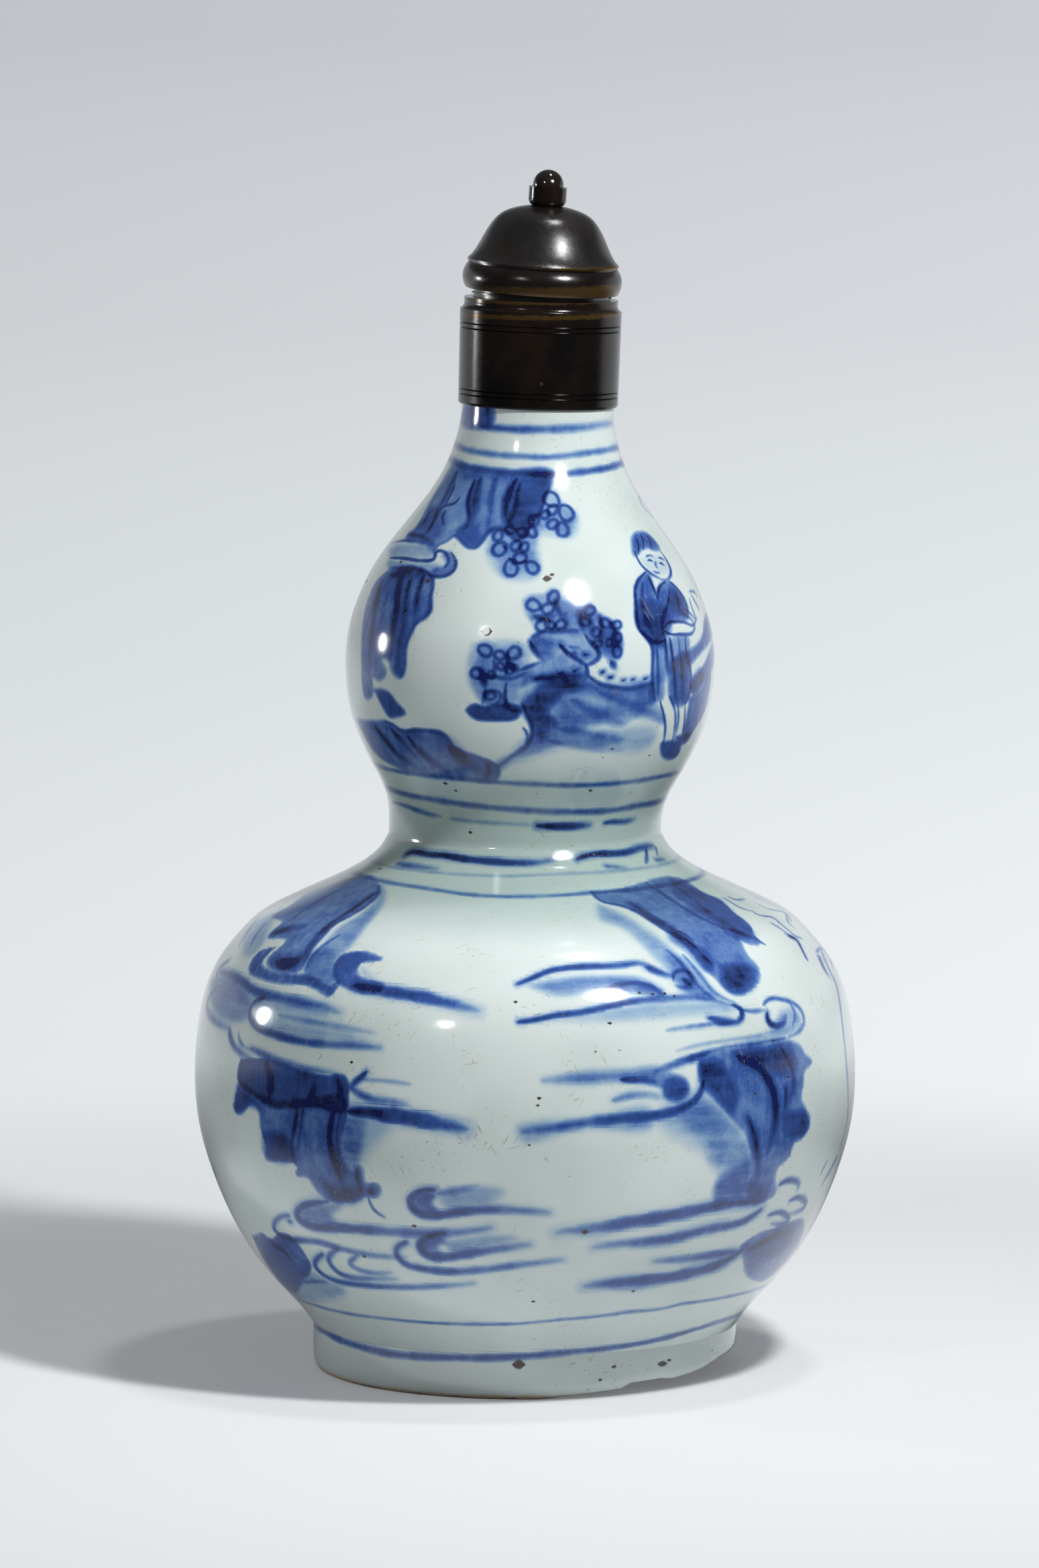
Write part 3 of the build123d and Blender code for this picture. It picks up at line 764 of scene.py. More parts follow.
clumpsLower = {
    "fills": {
        "treeLeft": (0.16, [(720, 973), (735, 967), (748, 975), (766, 977), (776, 973), (789, 984), (787, 999),
            (800, 1004), (796, 1030), (781, 1045), (790, 1064), (760, 1067), (730, 1064), (716, 1040), (709, 1020),
            (720, 1000)]),
        "treeMiddle": (0.22, [(791, 905), (800, 899), (822, 897), (835, 889), (846, 900), (846, 915), (857, 935),
            (855, 950), (840, 955), (812, 953), (804, 940), (794, 925)]),
        "foliage": (0.34, [(872, 926), (880, 915), (890, 912), (897, 920), (905, 927), (920, 935), (932, 949),
            (938, 964), (938, 982), (930, 995), (920, 992), (908, 986), (900, 975), (890, 962), (880, 950),
            (873, 940)]),
    },
    "washes": {
        "treeWash": (0.14, 8, [(712, 972), (760, 966), (795, 975), (800, 1010), (790, 1050), (720, 1050),
            (705, 1015)]),
        "betweenTrees": (0.3, 9, [(843, 905), (872, 912), (885, 950), (860, 955), (850, 940)]),
        "foliageShade": (0.3, 8, [(905, 960), (925, 950), (937, 970), (930, 992), (912, 986)]),
    },
    "lines": {
        "trunk": (0.9, 11, [(727, 1012), (730, 1026), (731, 1037)]),
        "trunkFoot": (0.6, 5, [(733, 1040), (731, 1052), (728, 1062)]),
        "twigDark": (0.9, 10, [(768, 1000), (776, 1008), (784, 1011)]),
        "branch": (0.7, 5, [(786, 1011), (800, 1005), (814, 1000)]),
        "branchLow": (0.6, 4.5, [(720, 1024), (745, 1021), (770, 1024), (792, 1016)]),
        "stemMiddle": (0.7, 5, [(766, 984), (766, 1002), (763, 1020)]),
        "stemLeft": (0.6, 4.5, [(745, 996), (746, 1012), (742, 1024)]),
        "stemLow": (0.65, 4, [(764, 1030), (762, 1048), (770, 1070), (786, 1074)]),
        "leafLow": (0.5, 4, [(733, 1050), (748, 1043), (756, 1048), (748, 1062), (734, 1060)]),
        "middleDark": (0.55, 8, [(806, 930), (820, 933), (838, 928)]),
        "middleSide": (0.5, 6, [(838, 905), (842, 920), (852, 936)]),
        "foliageFoldA": (0.5, 6, [(905, 930), (909, 950), (905, 972)]),
        "foliageFoldB": (0.45, 8, [(921, 940), (929, 965), (925, 988)]),
        "foliageFoldC": (0.5, 5, [(878, 922), (875, 936), (880, 950)]),
        "foliageFoldD": (0.45, 5, [(890, 930), (893, 944), (890, 956)]),
        "foliageDrip": (0.6, 8, [(922, 998), (926, 1004), (929, 1009)]),
        "tuftA": (0.7, 8, [(842, 1017), (852, 1014)]),
        "tuftB": (0.75, 10, [(866, 1013), (874, 1009)]),
        "tuftC": (0.75, 7, [(908, 1015), (913, 1012)]),
        "tuftD": (0.8, 8, [(919, 1023), (926, 1021)]),
        "tuftE": (0.8, 7, [(939, 1027), (945, 1025)]),
        "tuftF": (0.75, 7, [(953, 1026), (959, 1024)]),
        "tuftG": (0.75, 7, [(972, 1025), (978, 1022)]),
    },
    "leaves": [
        (733, 982, 10), (755, 989, 8), (776, 985, 10), (719, 1016, 9), (742, 1019, 6), (755, 1005, 6), (769, 1012, 6),
        (740, 1049, 8), (804, 913, 10), (826, 919, 9), (835, 902, 9), (818, 944, 10), (831, 943, 7), (847, 942, 8),
        (889, 922, 8), (882, 938, 7), (900, 955, 7), (903, 971, 6), (913, 940, 8), (931, 943, 7), (931, 962, 8),
        (931, 982, 8), (920, 969, 6),
    ],
}
leftOutline = [
    (585, 862), (601, 858), (622, 857), (640, 862), (651, 871), (653, 884), (650, 900), (649, 920), (640, 932),
    (628, 940), (620, 955), (614, 970), (611, 990), (610, 1010), (604, 1022), (596, 1018), (590, 1005), (583, 992),
    (577, 992), (577, 1003), (582, 1012), (579, 1021), (571, 1026), (564, 1020), (562, 1036), (561, 1050),
    (554, 1054), (548, 1040), (546, 1000), (548, 940), (557, 900), (570, 875),
]
rockOutline = [
    (538, 1086), (560, 1089), (580, 1088), (595, 1095), (607, 1103), (627, 1102), (650, 1103), (668, 1108),
    (677, 1117), (684, 1127), (697, 1136), (716, 1141), (736, 1149), (750, 1158), (752, 1168), (747, 1178),
    (733, 1179), (700, 1175), (660, 1170), (620, 1164), (590, 1153), (568, 1138), (552, 1115),
]
leftCliffUpper = {
    "fills": {
        "cliffBody": (0.48, leftOutline),
        "wedge": (0.62, [(565, 1041), (580, 1042), (592, 1052), (602, 1065), (611, 1076), (600, 1080), (589, 1082),
            (580, 1070), (572, 1055)]),
        "rockLow": (0.44, rockOutline),
    },
    "lines": {
        "foldInner": (0.65, 13, [(607, 866), (601, 890), (598, 922), (592, 955), (590, 985)]),
        "foldRight": (0.6, 9, [(640, 868), (632, 890), (627, 930)]),
        "foldTop": (0.5, 14, [(590, 868), (615, 864), (640, 868)]),
        "foldMiddle": (0.45, 9, [(620, 872), (613, 900), (610, 935), (602, 975), (600, 1008)]),
        "foldLeft": (0.5, 12, [(575, 878), (566, 915), (560, 960), (557, 1000)]),
        "cliffEdge": (0.5, 5, leftOutline[1:15]),
        "rockFoldA": (0.55, 10, [(565, 1096), (580, 1115), (600, 1138), (622, 1154)]),
        "rockFoldD": (0.45, 8, [(590, 1100), (610, 1122), (632, 1146)]),
        "rockFoldB": (0.6, 10, [(615, 1111), (630, 1130), (648, 1146), (668, 1160)]),
        "rockFoldC": (0.65, 20, [(678, 1126), (700, 1146), (722, 1162)]),
        "rockEdge": (0.5, 5, rockOutline[2:16]),
        "rockStrokeEnd": (0.4, 9, [(735, 1152), (738, 1165), (730, 1176)]),
    },
}
centreIsland = {
    "fills": {
        "bank": (0.85, [(704, 1072), (715, 1063), (730, 1067), (748, 1063), (765, 1062), (785, 1070), (783, 1080),
            (765, 1087), (740, 1087), (715, 1083)]),
        "rockTop": (0.2, [(800, 975), (803, 962), (815, 955), (840, 952), (870, 952), (885, 956), (895, 970),
            (903, 982), (905, 990), (895, 1000), (885, 1004), (872, 996), (858, 986), (848, 976), (838, 984),
            (828, 994), (816, 992), (806, 984)]),
        "field": (0.26, [(790, 1034), (800, 1008), (816, 998), (830, 990), (850, 984), (868, 996), (883, 1006),
            (886, 1020), (860, 1020), (830, 1022), (808, 1026)]),
        "ground": (0.2, [(788, 1068), (790, 1046), (800, 1035), (810, 1022), (830, 1018), (860, 1018), (885, 1018),
            (900, 1028), (925, 1035), (955, 1038), (984, 1032), (986, 1058), (1000, 1074), (1000, 1092), (985, 1084),
            (960, 1082), (940, 1094), (905, 1091), (880, 1100), (900, 1110), (940, 1118), (900, 1124), (840, 1124),
            (800, 1137), (770, 1149), (755, 1160), (750, 1154), (775, 1139), (799, 1118), (803, 1098), (797, 1080)]),
    },
    "washes": {
        "rockDark": (0.42, 8, [(800, 970), (808, 958), (824, 962), (836, 968), (832, 982), (820, 992), (806, 985)]),
        "groundDark": (0.72, 8, [(785, 1070), (795, 1054), (805, 1044), (820, 1030), (840, 1026), (870, 1026),
            (880, 1034), (852, 1045), (838, 1060), (828, 1075), (839, 1095), (826, 1100), (818, 1116), (808, 1104),
            (800, 1090)]),
        "ridgeShade": (0.3, 9, [(820, 1020), (880, 1018), (905, 1032), (984, 1034), (984, 1062), (930, 1054),
            (880, 1046), (840, 1040)]),
        "slopeShade": (0.22, 12, [(840, 1050), (900, 1070), (960, 1066), (998, 1084), (960, 1080), (900, 1092),
            (850, 1108), (800, 1134), (770, 1146), (800, 1112), (836, 1090)]),
        "shoreFade": (0.14, 12, [(850, 1108), (960, 1096), (990, 1100), (985, 1120), (900, 1128), (810, 1142),
            (770, 1152)]),
    },
    "lines": {
        "rockUnder": (0.75, 5, [(844, 973), (855, 984), (870, 994), (885, 1004)]),
        "rockRight": (0.7, 5, [(882, 956), (892, 970), (902, 981), (904, 991), (894, 1000), (884, 1005)]),
        "rockLeft": (0.75, 7, [(801, 968), (805, 978), (812, 988), (820, 996)]),
        "rockTopLine": (0.5, 4, [(803, 962), (815, 955), (840, 952), (872, 952)]),
        "rockDotA": (0.8, 9, [(845, 973), (851, 976)]),
        "rockDotB": (0.8, 8, [(882, 988), (888, 988)]),
        "rockDotC": (0.45, 6, [(866, 985), (872, 987)]),
        "rockDotD": (0.4, 5, [(860, 976), (874, 978)]),
        "stalk": (0.7, 5, [(884, 1004), (886, 1012), (886, 1020)]),
        "ridgeLine": (0.6, 5, [(888, 1020), (905, 1032), (925, 1037), (955, 1039), (984, 1031)]),
        "ridgeDark": (0.55, 8, [(806, 1024), (830, 1023), (852, 1020), (876, 1018)]),
        "shoreEdge": (0.6, 5, [(788, 1062), (797, 1082), (803, 1098), (800, 1118), (776, 1139), (752, 1157)]),
        "rootGap": (0.6, 3, [(789, 1098), (796, 1108), (794, 1122)]),
        "bankLine": (0.4, 4, [(764, 1040), (762, 1056), (770, 1070)]),
        "streakA": (0.24, 12, [(862, 1056), (900, 1076), (942, 1092)]),
        "streakB": (0.24, 12, [(905, 1046), (945, 1062), (992, 1078)]),
        "streakC": (0.22, 10, [(845, 1100), (900, 1108), (960, 1120)]),
        "streakD": (0.2, 9, [(830, 1118), (880, 1128), (940, 1132)]),
    },
}
sideLeaf = {
    "lines": {
        "leafOver": (0.45, 3.5, [(963, 746), (974, 752), (983, 764), (985, 780)]),
        "leafUnder": (0.35, 3, [(963, 746), (968, 760), (977, 772), (985, 780)]),
    },
}
youth = {
    "fills": {
        "hair": (0.5, [(954, 814), (961, 805), (975, 805), (987, 815), (995, 829), (985, 829), (975, 826), (966, 830),
            (959, 838)]),
        "jacket": (0.46, [(958, 886), (966, 873), (977, 866), (985, 885), (992, 905), (998, 880), (1010, 878),
            (1022, 888), (1032, 902), (1038, 918), (1036, 934), (1022, 937), (1008, 944), (1002, 955), (1003, 974),
            (985, 972), (972, 958), (963, 946), (959, 915)]),
        "skirtLight": (0.3, [(984, 973), (1004, 970), (1030, 958), (1036, 960), (1038, 990), (1036, 1030),
            (1014, 1012), (1002, 1034), (998, 1055), (988, 1058), (984, 1020)]),
        "skirtDark": (0.5, [(1012, 1002), (1036, 985), (1042, 1010), (1041, 1045), (1034, 1062), (1018, 1062),
            (1010, 1045)]),
        "shoeLeft": (0.62, [(998, 1122), (1010, 1119), (1024, 1122), (1024, 1137), (1012, 1145), (1001, 1141)]),
        "shoeRight": (0.6, [(1020, 1112), (1034, 1108), (1043, 1104), (1038, 1117), (1026, 1122)]),
        "bandHigh": (0.5, [(1066, 926), (1076, 944), (1073, 964), (1056, 985), (1037, 1001), (1035, 990), (1050, 976),
            (1061, 957), (1063, 940)]),
        "bandLow": (0.56, [(1076, 968), (1077, 1000), (1068, 1021), (1057, 1036), (1046, 1046), (1041, 1036),
            (1056, 1014), (1067, 994)]),
        "bandFoot": (0.54, [(1041, 1054), (1060, 1037), (1072, 1016), (1070, 1046), (1060, 1080), (1046, 1103),
            (1034, 1117), (1036, 1085)]),
    },
    "washes": {
        "jacketShade": (0.35, 7, [(960, 910), (985, 905), (1003, 915), (1004, 965), (985, 968), (968, 950)]),
        "sleeveShade": (0.3, 7, [(1012, 884), (1030, 905), (1034, 928), (1018, 925)]),
        "bandShade": (0.4, 7, [(1046, 1020), (1058, 1008), (1060, 1030), (1048, 1044)]),
        "cheekWash": (0.06, 6, [(965, 842), (1000, 842), (1008, 865), (985, 862)]),
    },
    "lines": {
        "strandA": (0.8, 2.5, [(960, 812), (964, 824), (963, 836)]),
        "strandB": (0.8, 2.5, [(967, 807), (971, 818), (971, 828)]),
        "strandC": (0.8, 2.5, [(976, 807), (981, 817), (984, 828)]),
        "cheekLeft": (0.7, 3.5, [(958, 832), (963, 845), (972, 857), (985, 867), (998, 874)]),
        "cheekRight": (0.7, 3.5, [(994, 828), (1004, 842), (1011, 856), (1012, 868), (1007, 875), (998, 874)]),
        "browLeft": (0.7, 2.4, [(975, 840), (980, 838), (985, 839)]),
        "browRight": (0.7, 2.4, [(994, 842), (998, 842), (1002, 845)]),
        "eyeLeft": (0.85, 2.8, [(977, 846), (981, 845), (985, 847)]),
        "eyeRight": (0.85, 2.8, [(995, 850), (998, 850), (1002, 853)]),
        "nose": (0.6, 2.2, [(990, 848), (990, 855), (993, 857)]),
        "mouth": (0.7, 2.4, [(986, 862), (991, 864), (996, 864)]),
        "collarLeft": (0.8, 3.5, [(977, 867), (985, 884), (993, 905)]),
        "collarRight": (0.8, 3.5, [(1004, 878), (998, 882), (993, 905)]),
        "jacketEdgeLeft": (0.7, 5, [(975, 863), (965, 873), (959, 887), (959, 905), (961, 930), (965, 949),
            (975, 960), (983, 972), (985, 1000), (985, 1030), (988, 1058)]),
        "jacketEdgeRight": (0.7, 4.5, [(1010, 877), (1021, 887), (1031, 901), (1037, 916), (1037, 933)]),
        "sleeveFoldA": (0.6, 4, [(970, 880), (969, 905), (975, 935), (985, 958)]),
        "sleeveFoldB": (0.6, 4, [(1010, 890), (1008, 910), (1000, 935), (1001, 958)]),
        "sleeveFoldC": (0.5, 4, [(1020, 896), (1024, 912), (1026, 928)]),
        "cuffTop": (0.75, 3.5, [(1002, 948), (1008, 940), (1022, 938), (1036, 940), (1046, 944), (1050, 932)]),
        "cuffUnder": (0.75, 3.5, [(1002, 952), (1012, 957), (1030, 957), (1044, 956), (1049, 946)]),
        "skirtEdge": (0.7, 4, [(1034, 960), (1036, 985), (1042, 1012), (1041, 1045), (1034, 1062)]),
        "skirtStripeA": (0.65, 4.5, [(1003, 962), (1006, 990), (1008, 1018)]),
        "skirtStripeB": (0.7, 5, [(1011, 962), (1015, 990), (1018, 1022), (1020, 1055)]),
        "skirtStripeC": (0.4, 4, [(1024, 962), (1027, 990), (1030, 1030), (1030, 1058)]),
        "skirtStripeD": (0.5, 4, [(991, 978), (993, 1005), (993, 1050)]),
        "sashLine": (0.75, 4.5, [(966, 952), (978, 963), (992, 970), (1005, 966)]),
        "legLeftOut": (0.7, 3.5, [(996, 1058), (1001, 1076), (1004, 1100), (1001, 1122)]),
        "legLeftIn": (0.6, 3, [(1010, 1050), (1018, 1070), (1019, 1095), (1015, 1120)]),
        "legRightIn": (0.6, 3, [(1023, 1064), (1024, 1082), (1020, 1108)]),
        "legRightOut": (0.7, 3.5, [(1034, 1064), (1033, 1088), (1030, 1108)]),
        "sprigStem": (0.7, 3, [(1042, 896), (1048, 906), (1055, 920)]),
        "sprigLeaf": (0.6, 3, [(1040, 902), (1044, 916), (1052, 936)]),
        "sprigTop": (0.6, 3, [(1040, 893), (1046, 892), (1052, 900)]),
        "handScribbleA": (0.6, 3, [(1030, 926), (1038, 930), (1046, 938)]),
        "handScribbleB": (0.6, 3, [(1034, 920), (1042, 926), (1049, 934)]),
    },
}


# Brushwork of the lower half, in the same terms.
waistArt = {
    "rings": {
        "ringUnderWaist": (0.42, 6.5, [(560, 1325), (580, 1330), (620, 1337), (660, 1343), (700, 1349), (740, 1352),
            (780, 1353), (820, 1352), (860, 1350), (890, 1347)]),
        "ringFaint": (0.16, 4, [(776, 1322), (820, 1320), (870, 1318)]),
        "footRingHigh": (0.42, 5, [(448, 1960), (497, 1976), (575, 1989), (635, 1995), (700, 1998), (800, 1996),
            (850, 1991), (920, 1984), (955, 1979), (985, 1977), (1030, 1967)]),
        "footRingLow": (0.6, 9, [(478, 2001), (510, 2020), (552, 2034), (600, 2044), (640, 2047), (760, 2048),
            (850, 2041), (920, 2034), (990, 2022), (1035, 2010), (1095, 1991)]),
    },
    "lines": {
        "ringDarkLeft": (0.85, 9, [(612, 1290), (620, 1286), (640, 1288), (670, 1291), (700, 1296), (740, 1300),
            (780, 1302), (820, 1300), (834, 1297)]),
        "ringDarkRight": (0.75, 8, [(870, 1296), (890, 1290), (920, 1288), (945, 1286), (965, 1280), (986, 1276)]),
        "dripA": (0.6, 5, [(975, 1280), (976, 1292), (975, 1303)]),
        "dripB": (0.5, 5, [(990, 1278), (992, 1290)]),
        "patchA": (0.3, 9, [(915, 1307), (945, 1309)]),
        "patchB": (0.3, 8, [(990, 1298), (1004, 1296)]),
        "patchC": (0.3, 8, [(600, 1303), (625, 1307), (660, 1311)]),
    },
}
slabOutline = [
    (560, 1323), (571, 1336), (570, 1350), (562, 1359), (545, 1372), (525, 1384), (501, 1398), (489, 1411),
    (475, 1426), (465, 1440), (459, 1452), (454, 1463), (440, 1468), (420, 1465), (403, 1450), (410, 1440),
    (420, 1432), (433, 1416), (406, 1414), (415, 1402), (428, 1389), (412, 1384), (432, 1370), (460, 1350),
    (500, 1335), (540, 1323),
]
slabLeft = {
    "fills": {
        "body": (0.4, slabOutline),
        "curl": (0.55, [(415, 1430), (396, 1434), (380, 1450), (377, 1465), (393, 1476), (430, 1484), (468, 1487),
            (484, 1496), (496, 1502), (507, 1492), (511, 1480), (500, 1488), (490, 1487), (474, 1477), (432, 1471),
            (403, 1464), (394, 1456), (400, 1444)]),
    },
    "washes": {
        "besideSlab": (0.24, 10, [(575, 1335), (580, 1356), (566, 1380), (546, 1405), (526, 1430), (506, 1450),
            (490, 1471), (470, 1462), (485, 1430), (510, 1402), (550, 1376), (570, 1352)]),
        "leftShade": (0.16, 14, [(430, 1372), (408, 1398), (392, 1430), (372, 1442), (366, 1420), (395, 1385)]),
    },
    "lines": {
        "stripeDark": (0.55, 10, [(566, 1348), (520, 1380), (490, 1402), (470, 1425), (452, 1452)]),
        "stripeThin": (0.35, 5, [(530, 1336), (480, 1360), (441, 1386)]),
        "corner": (0.45, 14, [(412, 1408), (430, 1403), (462, 1398)]),
        "footDark": (0.7, 20, [(418, 1450), (436, 1454), (454, 1444)]),
        "edge": (0.45, 4.5, slabOutline[1:11]),
        "washEdge": (0.42, 4.5, [(513, 1410), (490, 1425), (470, 1445), (461, 1465)]),
        "needleA": (0.45, 3.5, [(392, 1382), (378, 1398), (368, 1418)]),
        "needleB": (0.4, 3.5, [(402, 1392), (388, 1408), (378, 1428)]),
        "needleC": (0.4, 3.5, [(383, 1398), (370, 1410), (360, 1428)]),
    },
}
cloudsLeft = {
    "fills": {
        "hook": (0.62, [(505, 1456), (515, 1443), (535, 1437), (552, 1437), (565, 1442), (576, 1447), (560, 1450),
            (545, 1453), (538, 1462), (540, 1472), (556, 1480), (580, 1489), (562, 1499), (530, 1492), (512, 1484),
            (504, 1472)]),
    },
    "lines": {
        "hookTail": (0.56, 15, [(535, 1487), (560, 1492), (610, 1500), (670, 1512), (722, 1525)]),
        "sweepA": (0.46, 13, [(332, 1466), (358, 1476), (384, 1495), (410, 1503), (442, 1510), (490, 1520),
            (512, 1528)]),
        "curlB": (0.56, 9, [(400, 1505), (382, 1514), (377, 1534), (390, 1550), (412, 1560), (460, 1572), (520, 1577),
            (574, 1581)]),
        "faintA": (0.22, 8, [(420, 1532), (490, 1545), (565, 1559)]),
        "edgeHook": (0.5, 9, [(345, 1450), (331, 1461), (326, 1482)]),
        "edgeCurl": (0.5, 9, [(327, 1490), (315, 1505), (313, 1525), (325, 1541), (345, 1551)]),
        "edgeLow": (0.5, 9, [(346, 1552), (349, 1570), (361, 1587), (380, 1598)]),
        "edgeInner": (0.4, 5, [(360, 1556), (362, 1572), (376, 1584)]),
        "lowSweep": (0.36, 9, [(378, 1582), (418, 1600), (460, 1613), (515, 1622)]),
    },
    "washes": {
        "hookWash": (0.16, 10, [(545, 1460), (570, 1480), (610, 1492), (660, 1505), (620, 1500), (560, 1488)]),
        "underSlab": (0.3, 9, [(460, 1440), (500, 1436), (508, 1455), (505, 1480), (490, 1490), (465, 1478)]),
        "edgeWash": (0.32, 10, [(318, 1480), (345, 1470), (372, 1500), (376, 1530), (345, 1540), (322, 1520)]),
        "sweepWash": (0.18, 10, [(350, 1480), (400, 1505), (480, 1520), (500, 1530), (420, 1526), (360, 1505)]),
        "curlWash": (0.14, 10, [(385, 1515), (430, 1535), (520, 1555), (560, 1575), (470, 1568), (400, 1552)]),
    },
}
cliffLeft = {
    "fills": {
        "top": (0.78, [(363, 1600), (400, 1599), (430, 1608), (460, 1618), (500, 1624), (521, 1625), (525, 1642),
            (524, 1662), (519, 1677), (490, 1674), (454, 1670), (406, 1669), (382, 1652), (361, 1634)]),
        "body": (0.46, [(361, 1632), (355, 1657), (355, 1675), (361, 1680), (373, 1670), (382, 1664), (391, 1676),
            (394, 1702), (400, 1720), (404, 1738), (400, 1747), (418, 1750), (440, 1753), (449, 1756), (448, 1774),
            (460, 1774), (469, 1781), (478, 1795), (490, 1807), (520, 1813), (541, 1809), (550, 1804), (565, 1807),
            (573, 1798), (565, 1786), (554, 1789), (547, 1774), (543, 1761), (537, 1760), (532, 1770), (520, 1756),
            (514, 1732), (517, 1702), (523, 1678), (522, 1662), (454, 1660), (400, 1655), (375, 1642)]),
    },
    "washes": {
        "insideCliff": (0.28, 9, [(516, 1684), (552, 1690), (548, 1715), (538, 1755), (526, 1770), (515, 1745)]),
        "besideCliff": (0.18, 22, [(516, 1682), (594, 1694), (572, 1716), (548, 1745), (530, 1768), (512, 1745)]),
        "leftTip": (0.45, 8, [(398, 1712), (436, 1716), (442, 1748), (402, 1744)]),
        "footShade": (0.45, 9, [(485, 1782), (520, 1790), (550, 1796), (545, 1808), (500, 1808)]),
        "sideShade": (0.35, 7, [(357, 1640), (385, 1660), (392, 1676), (372, 1668), (358, 1678)]),
    },
    "lines": {
        "bandFoldA": (0.8, 11, [(402, 1603), (408, 1630), (404, 1660)]),
        "bandFoldB": (0.85, 9, [(474, 1640), (469, 1655), (466, 1668)]),
        "bandFoldC": (0.7, 8, [(510, 1628), (514, 1645), (512, 1662)]),
        "foldA": (0.6, 6, [(449, 1672), (445, 1700), (440, 1730), (446, 1756)]),
        "foldB": (0.55, 5, [(457, 1672), (453, 1705), (449, 1735)]),
        "foldC": (0.72, 12, [(504, 1676), (498, 1705), (500, 1735), (510, 1765), (522, 1802)]),
        "foldD": (0.5, 5, [(514, 1680), (508, 1712), (512, 1745), (522, 1775)]),
        "foldE": (0.55, 8, [(539, 1764), (540, 1780), (546, 1800)]),
        "footBlob": (0.7, 12, [(556, 1799), (562, 1797), (568, 1796)]),
        "tail": (0.6, 4, [(556, 1808), (562, 1822), (582, 1838)]),
        "scrollTick": (0.72, 7, [(553, 1617), (544, 1626), (532, 1636), (525, 1646)]),
        "scroll": (0.66, 19, [(526, 1677), (562, 1680), (610, 1686), (650, 1693), (704, 1704)]),
        "scrollPale": (0.36, 9, [(530, 1642), (548, 1654), (580, 1661), (614, 1666)]),
        "scrollFaint": (0.26, 5, [(548, 1629), (580, 1631), (620, 1636)]),
    },
}
waterLeft = {
    "fills": {
        "darkMass": (0.58, [(382, 1867), (397, 1863), (409, 1871), (421, 1863), (445, 1873), (460, 1893), (469, 1914),
            (456, 1932), (446, 1950), (430, 1942), (410, 1920), (394, 1894)]),
    },
    "washes": {
        "massFade": (0.2, 14, [(440, 1905), (480, 1925), (520, 1950), (490, 1962), (440, 1950)]),
        "headA": (0.36, 9, [(456, 1822), (490, 1816), (515, 1818), (500, 1834), (520, 1850), (480, 1848),
            (452, 1838)]),
        "headC": (0.6, 7, [(622, 1808), (640, 1800), (656, 1802), (650, 1815), (660, 1826), (636, 1832),
            (621, 1822)]),
        "headD": (0.5, 7, [(640, 1872), (660, 1864), (672, 1872), (660, 1882), (672, 1894), (648, 1894),
            (636, 1884)]),
        "bandC": (0.16, 10, [(660, 1800), (720, 1790), (760, 1800), (740, 1816), (670, 1820)]),
        "bandD": (0.2, 9, [(672, 1874), (740, 1866), (780, 1868), (740, 1880), (680, 1890)]),
    },
    "lines": {
        "scrollA": (0.5, 13, [(495, 1813), (470, 1816), (453, 1823), (448, 1834), (460, 1846), (508, 1853),
            (580, 1858), (640, 1861), (700, 1859), (742, 1852)]),
        "scrollB": (0.42, 8, [(436, 1834), (420, 1838), (413, 1852), (428, 1866), (472, 1873), (514, 1884),
            (580, 1896), (612, 1897)]),
        "dotB": (0.55, 9, [(436, 1843), (441, 1843)]),
        "scrollC": (0.56, 11, [(656, 1796), (634, 1798), (619, 1811), (625, 1826), (652, 1834), (694, 1829),
            (760, 1826), (830, 1830)]),
        "faintC": (0.26, 9, [(662, 1801), (690, 1796), (722, 1789)]),
        "scrollD": (0.56, 12, [(672, 1861), (646, 1867), (634, 1879), (642, 1892), (672, 1897), (730, 1888),
            (800, 1878)]),
        "scrollE": (0.44, 10, [(613, 1874), (598, 1885), (604, 1901), (634, 1914), (682, 1919), (760, 1912),
            (850, 1901)]),
        "scrollF": (0.42, 9, [(487, 1892), (475, 1906), (490, 1925), (526, 1937), (598, 1942), (660, 1941),
            (716, 1936)]),
        "scrollG": (0.36, 8, [(510, 1884), (496, 1898), (508, 1918), (550, 1929), (600, 1930)]),
        "scrollH": (0.34, 7, [(540, 1894), (528, 1906), (545, 1917), (590, 1920)]),
        "massFold": (0.5, 9, [(410, 1876), (430, 1890), (445, 1915)]),
        "drops": (0.36, 5, [(450, 1935), (470, 1934), (492, 1934)]),
    },
}
